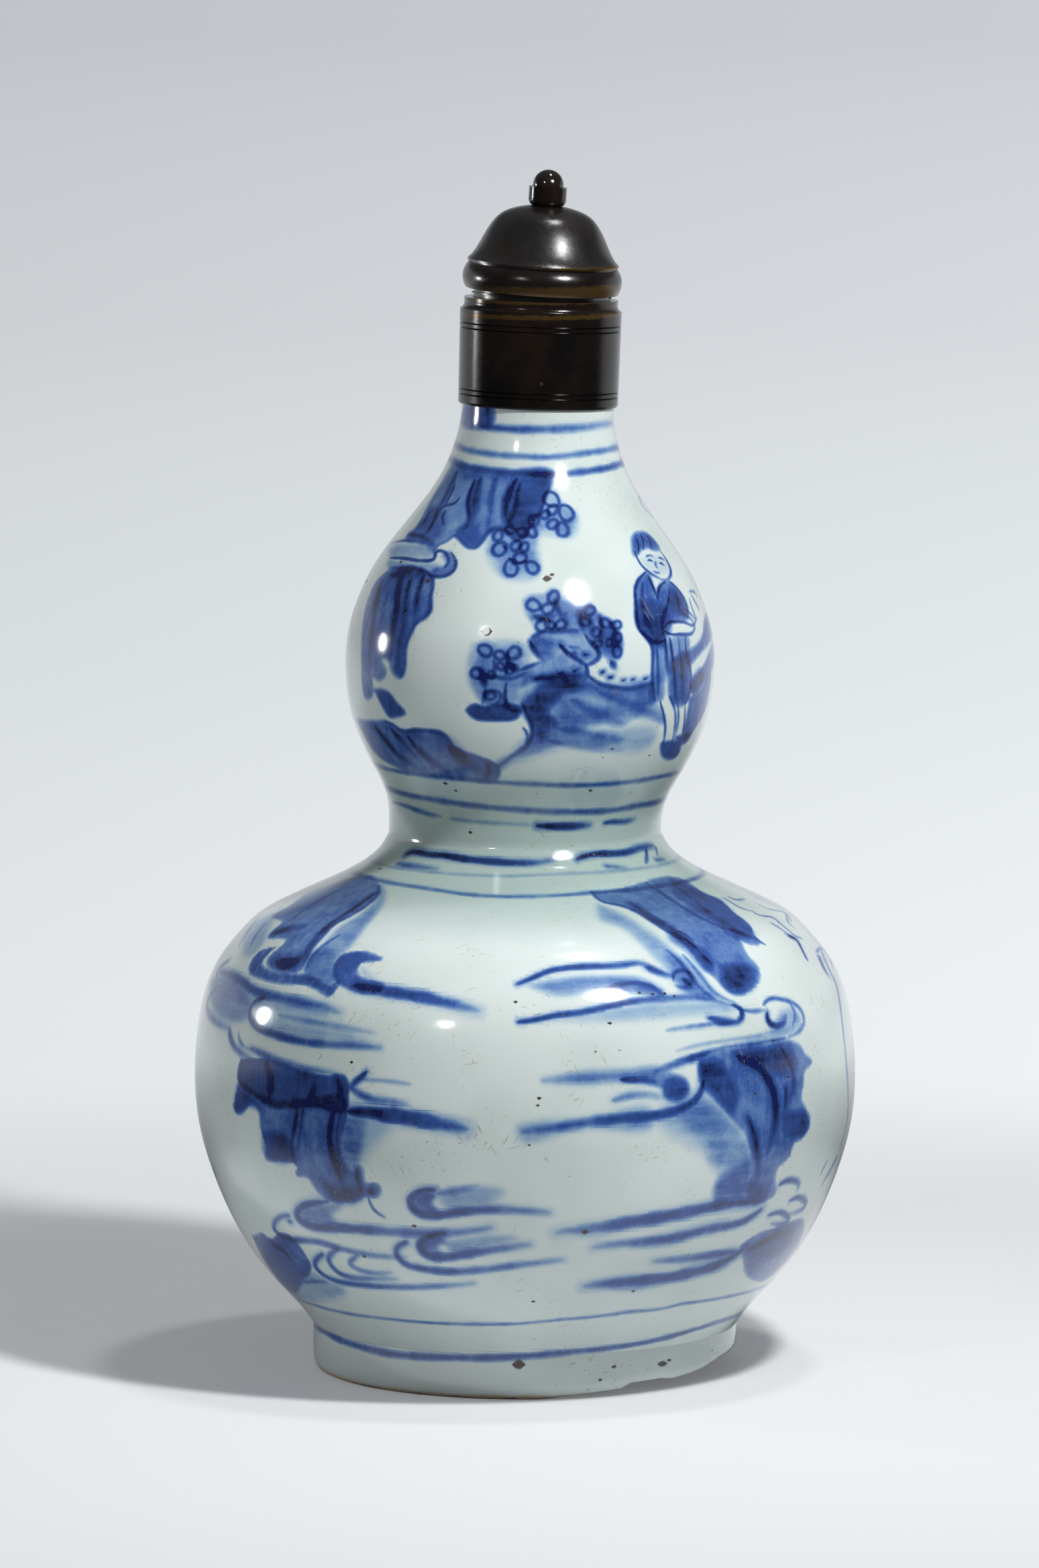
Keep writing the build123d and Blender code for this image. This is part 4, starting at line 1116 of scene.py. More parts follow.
slabRight = {
    "fills": {
        "body": (0.4, [(893, 1346), (930, 1343), (960, 1336), (985, 1328), (1010, 1324), (1032, 1328), (1052, 1341),
            (1072, 1352), (1088, 1358), (1095, 1366), (1110, 1380), (1124, 1390), (1134, 1402), (1140, 1415),
            (1147, 1422), (1125, 1422), (1116, 1414), (1126, 1438), (1142, 1458), (1146, 1474), (1138, 1488),
            (1124, 1498), (1108, 1500), (1094, 1492), (1082, 1478), (1066, 1464), (1050, 1444), (1032, 1424),
            (1000, 1402), (962, 1378), (930, 1364), (905, 1357)]),
        "lens": (0.3, [(902, 1498), (930, 1487), (960, 1483), (985, 1489), (1000, 1500), (960, 1498), (930, 1497)]),
    },
    "washes": {
        "besideSlab": (0.24, 14, [(905, 1367), (950, 1387), (1000, 1422), (1030, 1452), (1050, 1482), (1072, 1506),
            (1050, 1504), (1005, 1460), (975, 1428), (935, 1398), (905, 1382)]),
        "upperSheet": (0.3, 9, [(1010, 1326), (1050, 1342), (1090, 1362), (1120, 1390), (1138, 1412), (1120, 1418),
            (1090, 1400), (1050, 1372), (1015, 1345)]),
        "footPool": (0.6, 10, [(1088, 1458), (1120, 1456), (1142, 1468), (1136, 1488), (1110, 1496), (1092, 1484)]),
        "edgePool": (0.3, 9, [(1015, 1398), (1050, 1425), (1080, 1455), (1070, 1465), (1040, 1440), (1010, 1412)]),
        "veil": (0.2, 9, [(1000, 1430), (1035, 1450), (1075, 1490), (1100, 1520), (1070, 1512), (1030, 1490)]),
    },
    "lines": {
        "stripeDark": (0.4, 12, [(950, 1362), (1000, 1394), (1050, 1432), (1074, 1462)]),
        "stripeThin": (0.45, 4, [(975, 1332), (1020, 1362), (1060, 1386), (1096, 1402)]),
        "stripeHigh": (0.4, 4, [(1015, 1335), (1050, 1360), (1080, 1384), (1110, 1400)]),
        "dashA": (0.6, 5, [(1022, 1404), (1034, 1410), (1046, 1420)]),
        "dashB": (0.6, 5, [(1032, 1414), (1044, 1424), (1054, 1434)]),
        "dashC": (0.55, 5, [(1058, 1440), (1068, 1448), (1076, 1458)]),
        "corner": (0.7, 12, [(1100, 1402), (1118, 1408), (1136, 1414)]),
        "edgeLow": (0.5, 5, [(893, 1346), (905, 1358), (930, 1365), (962, 1376), (1000, 1400), (1030, 1420),
            (1049, 1440)]),
        "edgeHigh": (0.35, 4, [(1095, 1366), (1110, 1380), (1124, 1390), (1134, 1402)]),
        "spike": (0.6, 4, [(1138, 1412), (1146, 1420), (1156, 1426)]),
        "streakA": (0.4, 5, [(1005, 1432), (1035, 1462), (1058, 1492), (1080, 1508)]),
        "streakB": (0.35, 5, [(1030, 1440), (1056, 1470), (1082, 1500), (1112, 1514)]),
        "branchA": (0.6, 3, [(1090, 1354), (1104, 1362), (1118, 1370), (1132, 1374)]),
        "branchB": (0.55, 3, [(1098, 1352), (1112, 1358), (1124, 1356)]),
        "branchC": (0.6, 3, [(1134, 1374), (1150, 1382), (1166, 1384), (1176, 1392), (1188, 1402), (1200, 1412),
            (1210, 1416)]),
        "branchD": (0.55, 3, [(1140, 1362), (1156, 1370), (1172, 1374), (1186, 1378), (1194, 1390)]),
        "branchE": (0.55, 3, [(1150, 1348), (1166, 1358), (1184, 1366), (1196, 1376)]),
        "branchF": (0.5, 3, [(1162, 1392), (1176, 1400), (1190, 1410)]),
        "branchG": (0.5, 3, [(1186, 1378), (1190, 1392), (1200, 1400)]),
        "branchDab": (0.8, 7, [(1190, 1412), (1202, 1418), (1208, 1428)]),
        "branchTail": (0.75, 5, [(1204, 1420), (1212, 1436), (1219, 1450)]),
    },
}
cloudsRight = {
    "washes": {
        "bandWash": (0.3, 9, [(800, 1488), (860, 1476), (930, 1474), (985, 1484), (1002, 1496), (960, 1490),
            (900, 1494), (840, 1500)]),
        "longWash": (0.12, 10, [(800, 1538), (880, 1528), (960, 1514), (1060, 1510), (1110, 1522), (1040, 1532),
            (940, 1540)]),
        "loopWash": (0.2, 9, [(1178, 1526), (1200, 1522), (1208, 1546), (1180, 1562), (1120, 1572), (1160, 1556)]),
    },
    "lines": {
        "scrollTop": (0.55, 8, [(780, 1485), (800, 1477), (830, 1465), (860, 1460), (900, 1458), (940, 1456),
            (968, 1454), (990, 1464), (1016, 1472)]),
        "scrollDark": (0.4, 10, [(975, 1460), (996, 1468), (1014, 1474)]),
        "ringCurl": (0.5, 5, [(1016, 1478), (1018, 1468), (1032, 1464), (1042, 1470), (1044, 1482), (1034, 1490),
            (1022, 1488)]),
        "ringDot": (0.6, 9, [(1030, 1478), (1038, 1482), (1042, 1488)]),
        "lensTop": (0.45, 5, [(900, 1500), (930, 1487), (960, 1483), (985, 1489), (1001, 1501)]),
        "longScroll": (0.58, 7, [(782, 1542), (800, 1540), (840, 1532), (880, 1527), (920, 1518), (960, 1510),
            (1000, 1507), (1040, 1505), (1080, 1510), (1106, 1518)]),
        "longTurn": (0.6, 6, [(1104, 1516), (1120, 1526), (1118, 1538), (1104, 1544), (1084, 1546)]),
        "longFill": (0.5, 8, [(1070, 1536), (1090, 1540), (1110, 1540)]),
        "longUnder": (0.35, 4, [(1106, 1543), (1070, 1546), (1030, 1551), (1005, 1555)]),
        "loopA": (0.45, 5, [(1122, 1524), (1136, 1526), (1152, 1524)]),
        "loopB": (0.5, 5, [(1152, 1516), (1160, 1508), (1180, 1508), (1198, 1514), (1211, 1528), (1212, 1547),
            (1204, 1558), (1190, 1565)]),
        "loopC": (0.7, 8, [(1158, 1528), (1160, 1542), (1172, 1548), (1184, 1542), (1186, 1530)]),
        "loopD": (0.4, 4, [(1192, 1514), (1200, 1530), (1196, 1548)]),
        "loopSweep": (0.45, 5, [(1186, 1566), (1150, 1573), (1100, 1580), (1060, 1590), (1020, 1600)]),
        "loopInner": (0.22, 4, [(1150, 1562), (1110, 1568), (1060, 1576), (1020, 1586)]),
    },
}
edgeStroke = {
    "lines": {
        "edgeLoop": (0.5, 5, [(1232, 1436), (1240, 1430), (1250, 1440), (1256, 1458)]),
        "edgeCore": (0.5, 8, [(1236, 1442), (1244, 1462), (1252, 1474)]),
        "edgeLong": (0.42, 6, [(1240, 1435), (1250, 1460), (1260, 1481), (1267, 1510), (1272, 1550), (1277, 1600),
            (1280, 1650), (1277, 1700), (1268, 1731)]),
        "edgeDabA": (0.4, 6, [(1263, 1746), (1256, 1760), (1246, 1776)]),
    },
}
cliffRight = {
    "fills": {
        "body": (0.44, [(1056, 1601), (1067, 1595), (1102, 1585), (1124, 1580), (1160, 1577), (1189, 1571),
            (1209, 1581), (1217, 1595), (1225, 1601), (1216, 1612), (1212, 1634), (1209, 1660), (1220, 1682),
            (1220, 1703), (1209, 1717), (1196, 1728), (1193, 1741), (1174, 1762), (1169, 1784), (1170, 1800),
            (1156, 1811), (1134, 1815), (1134, 1779), (1136, 1745), (1125, 1709), (1102, 1682), (1081, 1660),
            (1060, 1639), (1055, 1620)]),
    },
    "washes": {
        "insideLow": (0.45, 9, [(1086, 1775), (1108, 1762), (1132, 1752), (1133, 1780), (1134, 1812), (1100, 1817),
            (1080, 1814), (1078, 1795)]),
        "inside": (0.26, 14, [(1056, 1645), (1085, 1668), (1110, 1696), (1130, 1728), (1132, 1760), (1100, 1770),
            (1076, 1760), (1068, 1730), (1045, 1705), (1022, 1688)]),
        "insideFade": (0.14, 18, [(1000, 1670), (1050, 1655), (1090, 1700), (1080, 1745), (1040, 1725),
            (1000, 1700)]),
        "leftEdge": (0.5, 9, [(1056, 1606), (1080, 1600), (1100, 1625), (1114, 1655), (1106, 1676), (1080, 1652),
            (1060, 1630)]),
        "topDark": (0.5, 9, [(1107, 1586), (1160, 1580), (1196, 1586), (1202, 1612), (1170, 1620), (1140, 1610),
            (1112, 1600)]),
        "sideDark": (0.5, 8, [(1185, 1682), (1214, 1680), (1217, 1704), (1200, 1716), (1184, 1706)]),
        "footDark": (0.5, 8, [(1112, 1792), (1150, 1790), (1152, 1812), (1116, 1815)]),
        "lensBand": (0.36, 10, [(820, 1631), (887, 1618), (957, 1614), (1010, 1618), (1020, 1630), (957, 1632),
            (887, 1634)]),
        "blob": (0.75, 7, [(1002, 1632), (1020, 1624), (1036, 1632), (1038, 1648), (1022, 1660), (1004, 1654)]),
        "lowBand": (0.24, 12, [(782, 1700), (834, 1692), (914, 1684), (984, 1680), (984, 1694), (914, 1702),
            (834, 1712), (784, 1714)]),
    },
    "lines": {
        "band": (0.66, 14, [(1113, 1594), (1145, 1612), (1164, 1638), (1171, 1671), (1168, 1705), (1158, 1740)]),
        "fold": (0.45, 10, [(1128, 1684), (1139, 1715), (1144, 1750), (1142, 1790)]),
        "foldTop": (0.5, 6, [(1177, 1578), (1192, 1606), (1198, 1634), (1192, 1660)]),
        "foldFar": (0.4, 6, [(1186, 1640), (1186, 1662), (1180, 1690)]),
        "lensDark": (0.6, 8, [(936, 1629), (970, 1630), (990, 1634), (1004, 1642)]),
        "lensFaint": (0.22, 9, [(926, 1660), (968, 1652), (1012, 1658)]),
        "lineTop": (0.46, 8, [(1070, 1588), (1056, 1594), (1022, 1605), (984, 1619)]),
        "lowerScroll": (0.5, 13, [(1062, 1630), (1055, 1652), (1032, 1671), (984, 1684), (914, 1690), (834, 1702),
            (786, 1708)]),
        "bladesA": (0.5, 4, [(1238, 1774), (1243, 1762), (1250, 1750)]),
        "bladesB": (0.5, 4, [(1240, 1790), (1246, 1778), (1254, 1768)]),
    },
}
waterRight = {
    "fills": {
        "darkMass": (0.46, [(1118, 1880), (1145, 1862), (1177, 1851), (1212, 1842), (1210, 1864), (1193, 1897),
            (1177, 1913), (1148, 1932), (1128, 1922), (1124, 1902)]),
    },
    "washes": {
        "bodyA": (0.22, 10, [(844, 1856), (941, 1838), (1048, 1820), (1075, 1818), (1050, 1832), (980, 1846),
            (870, 1864)]),
        "bodyD": (0.24, 10, [(887, 1934), (960, 1924), (1040, 1910), (1112, 1888), (1104, 1904), (1050, 1926),
            (930, 1946)]),
        "bodyB": (0.2, 10, [(898, 1876), (1000, 1862), (1100, 1842), (1060, 1862), (960, 1882)]),
        "massShade": (0.3, 9, [(1128, 1884), (1160, 1864), (1200, 1850), (1190, 1876), (1150, 1900)]),
    },
    "lines": {
        "scrollA": (0.48, 17, [(1130, 1814), (1085, 1819), (1048, 1827), (995, 1837), (941, 1846), (887, 1854),
            (840, 1861)]),
        "scrollB": (0.44, 13, [(1150, 1824), (1124, 1842), (1075, 1854), (1022, 1867), (957, 1875), (895, 1882)]),
        "scrollC": (0.42, 11, [(1118, 1888), (1091, 1891), (1048, 1898), (986, 1903)]),
        "scrollD": (0.5, 17, [(1118, 1889), (1086, 1907), (1048, 1920), (995, 1929), (941, 1935), (882, 1941)]),
        "loopA": (0.5, 7, [(1176, 1788), (1192, 1781), (1206, 1786), (1203, 1796)]),
        "loopB": (0.5, 7, [(1192, 1812), (1208, 1807), (1216, 1816), (1204, 1828), (1190, 1832)]),
        "loopC": (0.5, 7, [(1160, 1834), (1182, 1831), (1191, 1840), (1177, 1847), (1164, 1846)]),
        "massFold": (0.5, 10, [(1130, 1886), (1160, 1870), (1195, 1856)]),
    },
}
# Kiln pits and grit: place in the photograph's pixels and size. The ones on the foot aren't repeated.
pits = {
    "length": 0.4,
    "frontOnlyBelow": 2000,
    "upper": [
        (645, 877, 8), (605, 848, 4), (553, 877, 4), (735, 953, 13), (825, 873, 10), (833, 867, 6), (672, 1182, 5),
        (688, 1193, 4), (891, 1193, 5), (710, 1256, 5), (924, 1130, 4), (805, 1108, 4), (980, 1140, 3),
    ],
    "lower": [
        (573, 1311, 5), (778, 1512, 5), (920, 1544, 5), (899, 1587, 4), (935, 1585, 4), (1168, 1570, 4),
        (1190, 1625, 5), (1140, 1650, 4), (530, 1603, 4), (627, 1695, 4), (550, 1896, 5), (798, 1728, 4),
        (883, 1859, 9), (814, 1657, 5), (811, 1668, 4), (956, 1948, 5), (438, 1390, 4), (410, 1553, 4),
        (965, 1498, 4), (985, 1500, 5), (1003, 1499, 4), (1018, 1503, 4), (625, 1850, 7), (805, 1964, 5),
        (1131, 1919, 4), (782, 2059, 15), (927, 2063, 6), (906, 2086, 5), (1000, 2062, 14), (1010, 2054, 7),
        (1033, 2010, 5), (1075, 2040, 4), (700, 1640, 3), (860, 1775, 3), (640, 1745, 3),
    ],
}


def dot(canvas, x, y, size):
    half = size / 2.0 * pits["length"]
    angles, runs = canvas.trace([(x - half, y), (x + half, y)])
    canvas.line(angles, runs, size, 1.0, taper=False)
    if y < pits["frontOnlyBelow"]:
        canvas.line(*ontoBack(angles, runs), size, 1.0, taper=False)


# What each half carries: motifs repeated on the back, motifs of the front alone, and motifs turned
# to a side, with the turn in degrees and the squeeze.
upperArt = {
    "round": [neckArt, hangingCliff, cloudCurl, clumpsUpper, leftCliffUpper, centreIsland, clumpsLower],
    "front": [youth, sideLeaf],
    "beside": [(hangingCliff, 146.0, 0.8)],
    "spots": pits["upper"],
}
lowerArt = {
    "round": [waistArt, slabLeft, cloudsLeft, cliffLeft, waterLeft, slabRight, cloudsRight, cliffRight, waterRight],
    "front": [edgeStroke],
    "beside": [(cliffLeft, 128.0, 0.6), (cliffRight, -130.0, 0.7)],
    "spots": pits["lower"],
}


def decorate(shape, own, skin, stand, art):
    canvas = Canvas(shape, own, skin, stand)
    for part in art["round"]:
        canvas.paint(part)
    for part in art["front"]:
        canvas.paint(part, mirrored=False)
    for part, turn, squeeze in art["beside"]:
        canvas.paint(part, mirrored=False, turn=math.radians(turn), squeeze=squeeze)
    count = canvas.keep("brush")
    grit = Canvas(shape, own, skin, stand)
    for x, y, size in art["spots"]:
        dot(grit, x, y, size)
    return count, grit.keep("grit")


upperLayers = decorate(upperGourd, upperOwn, upperSkin, leanTurn, upperArt)
lowerLayers = decorate(lowerGourd, lowerOwn, lowerSkin, upright, lowerArt)
print("brushwork", upperLayers, lowerLayers)


def newFinish(name):
    finish = bpy.data.materials.new(name)
    finish.use_nodes = True
    tree = finish.node_tree
    tree.nodes.clear()
    end = tree.nodes.new("ShaderNodeOutputMaterial")
    surface = tree.nodes.new("ShaderNodeBsdfPrincipled")
    tree.links.new(surface.outputs["BSDF"], end.inputs["Surface"])
    return finish, tree, surface


def give(tree, target, value):
    if isinstance(value, bpy.types.NodeSocket):
        tree.links.new(value, target)
    else:
        target.default_value = value


def sums(tree, operation, first, second=0.0, third=0.0, clamp=False):
    node = tree.nodes.new("ShaderNodeMath")
    node.operation = operation
    node.use_clamp = clamp
    for target, value in zip(node.inputs, (first, second, third)):
        give(tree, target, value)
    return node.outputs["Value"]


def product(tree, first, second):
    return sums(tree, "MULTIPLY", first, second)


def highest(tree, values):
    # The larger of all the values, one after the other.
    most = values[0]
    for value in values[1:]:
        most = sums(tree, "MAXIMUM", most, value)
    return most


def scaled(tree, value, factor, added):
    return sums(tree, "MULTIPLY_ADD", value, factor, added)


def eased(tree, value, low, high, start=0.0, end=1.0):
    node = tree.nodes.new("ShaderNodeMapRange")
    node.interpolation_type = "SMOOTHSTEP"
    facts = {"Value": value, "From Min": low, "From Max": high, "To Min": start, "To Max": end}
    for name, item in facts.items():
        give(tree, node.inputs[name], item)
    return node.outputs["Result"]


def blended(tree, share, first, second, mode="MIX"):
    node = tree.nodes.new("ShaderNodeMix")
    node.data_type = "RGBA"
    node.blend_type = mode
    give(tree, node.inputs["Factor"], share)
    give(tree, node.inputs["A"], first)
    give(tree, node.inputs["B"], second)
    return node.outputs["Result"]


def ramped(tree, value, stops):
    node = tree.nodes.new("ShaderNodeValToRGB")
    made = node.color_ramp.elements
    for number, (place, colour) in enumerate(stops):
        stop = made[number] if number < 2 else made.new(0.5)
        stop.position = place
        stop.color = colour
    tree.links.new(value, node.inputs["Fac"])
    return node.outputs["Color"]


def objectPlace(tree):
    return tree.nodes.new("ShaderNodeTexCoord").outputs["Object"]


def partsOf(tree, vector):
    parts = tree.nodes.new("ShaderNodeSeparateXYZ")
    tree.links.new(vector, parts.inputs["Vector"])
    return parts.outputs


def mappedNoise(tree, scale, detail, mapping, kind="POINT"):
    shift = tree.nodes.new("ShaderNodeMapping")
    shift.vector_type = kind
    for name, value in mapping.items():
        shift.inputs[name].default_value = value
    tree.links.new(objectPlace(tree), shift.inputs["Vector"])
    node = tree.nodes.new("ShaderNodeTexNoise")
    tree.links.new(shift.outputs["Vector"], node.inputs["Vector"])
    node.inputs["Scale"].default_value = scale
    node.inputs["Detail"].default_value = detail
    return node


def mottle(tree, scale, detail=4.0, roughness=0.55, stretch=(1.0, 1.0, 1.0)):
    node = mappedNoise(tree, scale, detail, {"Scale": stretch})
    node.inputs["Roughness"].default_value = roughness
    return node.outputs["Fac"]


def cells(tree, scale):
    node = tree.nodes.new("ShaderNodeTexVoronoi")
    tree.links.new(objectPlace(tree), node.inputs["Vector"])
    node.inputs["Scale"].default_value = scale
    return node.outputs["Distance"]


def relief(tree, surface, height, strength, depth):
    node = tree.nodes.new("ShaderNodeBump")
    node.inputs["Strength"].default_value = strength
    node.inputs["Distance"].default_value = depth * mm
    tree.links.new(height, node.inputs["Height"])
    tree.links.new(node.outputs["Normal"], surface.inputs["Normal"])


# Noises are scale, detail, roughness and stretch. Ranges are from low to high, then what they turn
# into. Pairs are a factor and what is added. Heights and reliefs are millimetres.
glaze = {
    "body": linear(208, 218, 215),
    # A darker green, for thick glaze in broad patches and for the painted shade round the waist.
    "greenAndShade": linear(158, 176, 171),
    "brown": linear(60, 46, 36),
    "scratch": linear(132, 118, 88),
    "clay": linear(186, 160, 128),
    "clayDark": linear(92, 66, 48),
    "roughness": 0.13,
    "coat": 0.5,
    "coatRoughness": 0.04,
    "ior": 1.5,
    "fineNoise": (900.0, 3.0),
    "cloudyNoise": (120.0, 4.0, 0.6),
    "broadNoise": (22.0, 2.0),
    "patchRange": (0.35, 0.7, 0.0, 0.3),
    "inks": [
        (0.0, linear(255, 255, 255)), (0.1, linear(186, 208, 238)), (0.24, linear(120, 154, 216)),
        (0.42, linear(66, 100, 184)), (0.62, linear(36, 60, 146)), (0.82, linear(19, 32, 104)),
        (1.0, linear(9, 14, 62)),
    ],
    "inkSpan": 1.3,
    "inkPooled": (1.5, 0.28),
    "inkGrain": (0.4, 0.8),
    "edgeNoise": (420.0, 2.0),
    "edgeWobble": 0.34,
    "softNoise": (60.0, 2.0),
    "softness": (0.75, 0.16),
    "softByTone": (0.3, 0.95, 1.7, 0.6),
    "softByWidth": 0.3,
    "softWidest": 2.0,
    "pooling": (-1.1, -0.2, 0.0, 0.25),
    "poolingWidths": (1.2, 2.2),
    "downNoise": (420.0, 3.0, 0.6, (1.0, 1.0, 0.16)),
    "downMarks": (0.8, 0.6),
    "sideNoise": (420.0, 3.0, 0.6, (0.1, 0.1, 1.0)),
    "sideMarks": (1.3, 0.35),
    "gritWobble": 2.0,
    "gritSoftness": 0.15,
    "dustScale": 95.0,
    "dustRange": (0.02, 0.045, 0.55, 0.0),
    "dustNoise": (60.0, 1.0),
    "dustPatches": (0.58, 0.66),
    "hairs": [(1500.0, 0.6), (1300.0, -0.5), (1400.0, 1.3)],
    "hairLength": 14.0,
    "hairRange": (0.7, 0.75),
    "hairNoise": (45.0, 2.0),
    "hairPatches": (0.46, 0.62, 0.0, 0.5),
    "bareUneven": 2.4,
    "bareHeights": (1.6, 3.0),
    "clayRange": (0.42, 0.66),
    "bareRoughness": 0.6,
    "spotRoughness": 0.4,
    "rippleShare": 0.35,
    "sunkSpots": 0.5,
    "relief": (0.25, 0.6),
    # Heights in millimetres where the waist band of painted shade and thicker glaze rises and fades, on each half.
    "lowerWaistGreenShade": ((128.0, 146.0), (190.0, 200.0)),
    "upperWaistGreenShade": ((110.0, 112.0), (164.0, 190.0)),
}


def hairs(tree, scale, lean):
    # Fine worn lines: the crests of a noise drawn out lengthwise.
    mapping = {"Rotation": (0.0, lean, 0.0), "Scale": (1.0, 1.0, glaze["hairLength"])}
    node = mappedNoise(tree, scale, 1.0, mapping, "TEXTURE")
    return eased(tree, node.outputs["Fac"], *glaze["hairRange"])


def layerMask(tree, name, wobble, softness):
    # How far a vertex is covered by a layer's strokes, and how strong their ink is there.
    source = tree.nodes.new("ShaderNodeAttribute")
    source.attribute_name = name
    offset, half, tone = partsOf(tree, source.outputs["Vector"])
    away = sums(tree, "ADD", sums(tree, "ABSOLUTE", offset), wobble)
    softness = product(tree, softness, eased(tree, tone, *glaze["softByTone"]))
    width = sums(tree, "MINIMUM", sums(tree, "MAXIMUM", half, 0.0), glaze["softWidest"])
    softness = scaled(tree, width, glaze["softByWidth"], softness)
    low = sums(tree, "SUBTRACT", half, softness)
    high = sums(tree, "ADD", half, softness)
    rim = eased(tree, sums(tree, "SUBTRACT", away, half), *glaze["pooling"])
    rim = scaled(tree, rim, eased(tree, half, *glaze["poolingWidths"]), 1.0)
    return eased(tree, away, low, high, 1.0, 0.0), product(tree, tone, rim)


def inkOf(tree, layers, cloudy, fine, wobble):
    # All the layers and the wash together. Brush marks run down the solid shapes and along the washes.
    softness = scaled(tree, mottle(tree, *glaze["softNoise"]), *glaze["softness"])
    total = None
    for number in range(layers):
        ink = product(tree, *layerMask(tree, "brush" + str(number), wobble, softness))
        total = ink if total is None else sums(tree, "ADD", total, ink)
    wash = tree.nodes.new("ShaderNodeAttribute")
    wash.attribute_name = "brushWash"
    downMarks = scaled(tree, mottle(tree, *glaze["downNoise"]), *glaze["downMarks"])
    sideMarks = scaled(tree, mottle(tree, *glaze["sideNoise"]), *glaze["sideMarks"])
    total = scaled(tree, wash.outputs["Fac"], sideMarks, product(tree, total, downMarks))
    total = product(tree, total, scaled(tree, cloudy, *glaze["inkPooled"]))
    total = product(tree, total, scaled(tree, fine, *glaze["inkGrain"]))
    return ramped(tree, sums(tree, "DIVIDE", total, glaze["inkSpan"], clamp=True), glaze["inks"])


def glazeFinish(name, layers, grits, waistShadeRise, waistShadeFall, footed):
    finish, tree, surface = newFinish(name)
    fine = mottle(tree, *glaze["fineNoise"])
    cloudy = mottle(tree, *glaze["cloudyNoise"])
    broad = mottle(tree, *glaze["broadNoise"])
    height = partsOf(tree, objectPlace(tree))["Z"]
    wobble = product(tree, sums(tree, "SUBTRACT", mottle(tree, *glaze["edgeNoise"]), 0.5), glaze["edgeWobble"])
    # The glaze is greener in broad patches where it runs thick. Round the waist it is greener and darker: thicker
    # glaze there, and painted shade under the upper bulb.
    rise = eased(tree, height, waistShadeRise[0] * mm, waistShadeRise[1] * mm)
    fall = eased(tree, height, waistShadeFall[0] * mm, waistShadeFall[1] * mm, 1.0, 0.0)
    ground = blended(tree, product(tree, rise, fall), glaze["body"], glaze["greenAndShade"])
    ground = blended(tree, eased(tree, broad, *glaze["patchRange"]), ground, glaze["greenAndShade"])
    colour = blended(tree, 1.0, ground, inkOf(tree, layers, cloudy, fine, wobble), "MULTIPLY")
    # Pits, grit and dust under the glaze.
    spots = []
    for number in range(grits):
        rough = product(tree, wobble, glaze["gritWobble"])
        spots.append(product(tree, *layerMask(tree, "grit" + str(number), rough, glaze["gritSoftness"])))
    dust = eased(tree, cells(tree, glaze["dustScale"]), *glaze["dustRange"])
    sparse = eased(tree, mottle(tree, *glaze["dustNoise"]), *glaze["dustPatches"])
    spots = highest(tree, spots + [product(tree, dust, sparse)])
    colour = blended(tree, spots, colour, glaze["brown"])
    scratched = highest(tree, [hairs(tree, scale, lean) for scale, lean in glaze["hairs"]])
    patches = eased(tree, mottle(tree, *glaze["hairNoise"]), *glaze["hairPatches"])
    colour = blended(tree, product(tree, scratched, patches), colour, glaze["scratch"])
    if footed:
        low, high = glaze["bareHeights"]
        edge = scaled(tree, cloudy, glaze["bareUneven"] * mm, height)
        bare = eased(tree, edge, low * mm, high * mm, 1.0, 0.0)
        clay = blended(tree, eased(tree, cloudy, *glaze["clayRange"]), glaze["clay"], glaze["clayDark"])
        colour = blended(tree, bare, colour, clay)
        roughness = scaled(tree, bare, glaze["bareRoughness"], glaze["roughness"])
    else:
        roughness = scaled(tree, spots, glaze["spotRoughness"], glaze["roughness"])
    give(tree, surface.inputs["Roughness"], roughness)
    give(tree, surface.inputs["Base Color"], colour)
    surface.inputs["IOR"].default_value = glaze["ior"]
    surface.inputs["Coat Weight"].default_value = glaze["coat"]
    surface.inputs["Coat Roughness"].default_value = glaze["coatRoughness"]
    ripple = scaled(tree, cloudy, glaze["rippleShare"], broad)
    sunk = sums(tree, "SUBTRACT", ripple, product(tree, spots, glaze["sunkSpots"]))
    relief(tree, surface, sunk, *glaze["relief"])
    return finish


lowerGourd.data.materials.append(glazeFinish("lowerGlaze", *lowerLayers, *glaze["lowerWaistGreenShade"], True))
upperGourd.data.materials.append(glazeFinish("upperGlaze", *upperLayers, *glaze["upperWaistGreenShade"], False))
for half in (lowerGourd, upperGourd):
    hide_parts("porcelain_body")
    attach(half, "vase")
print("porcelain finished")


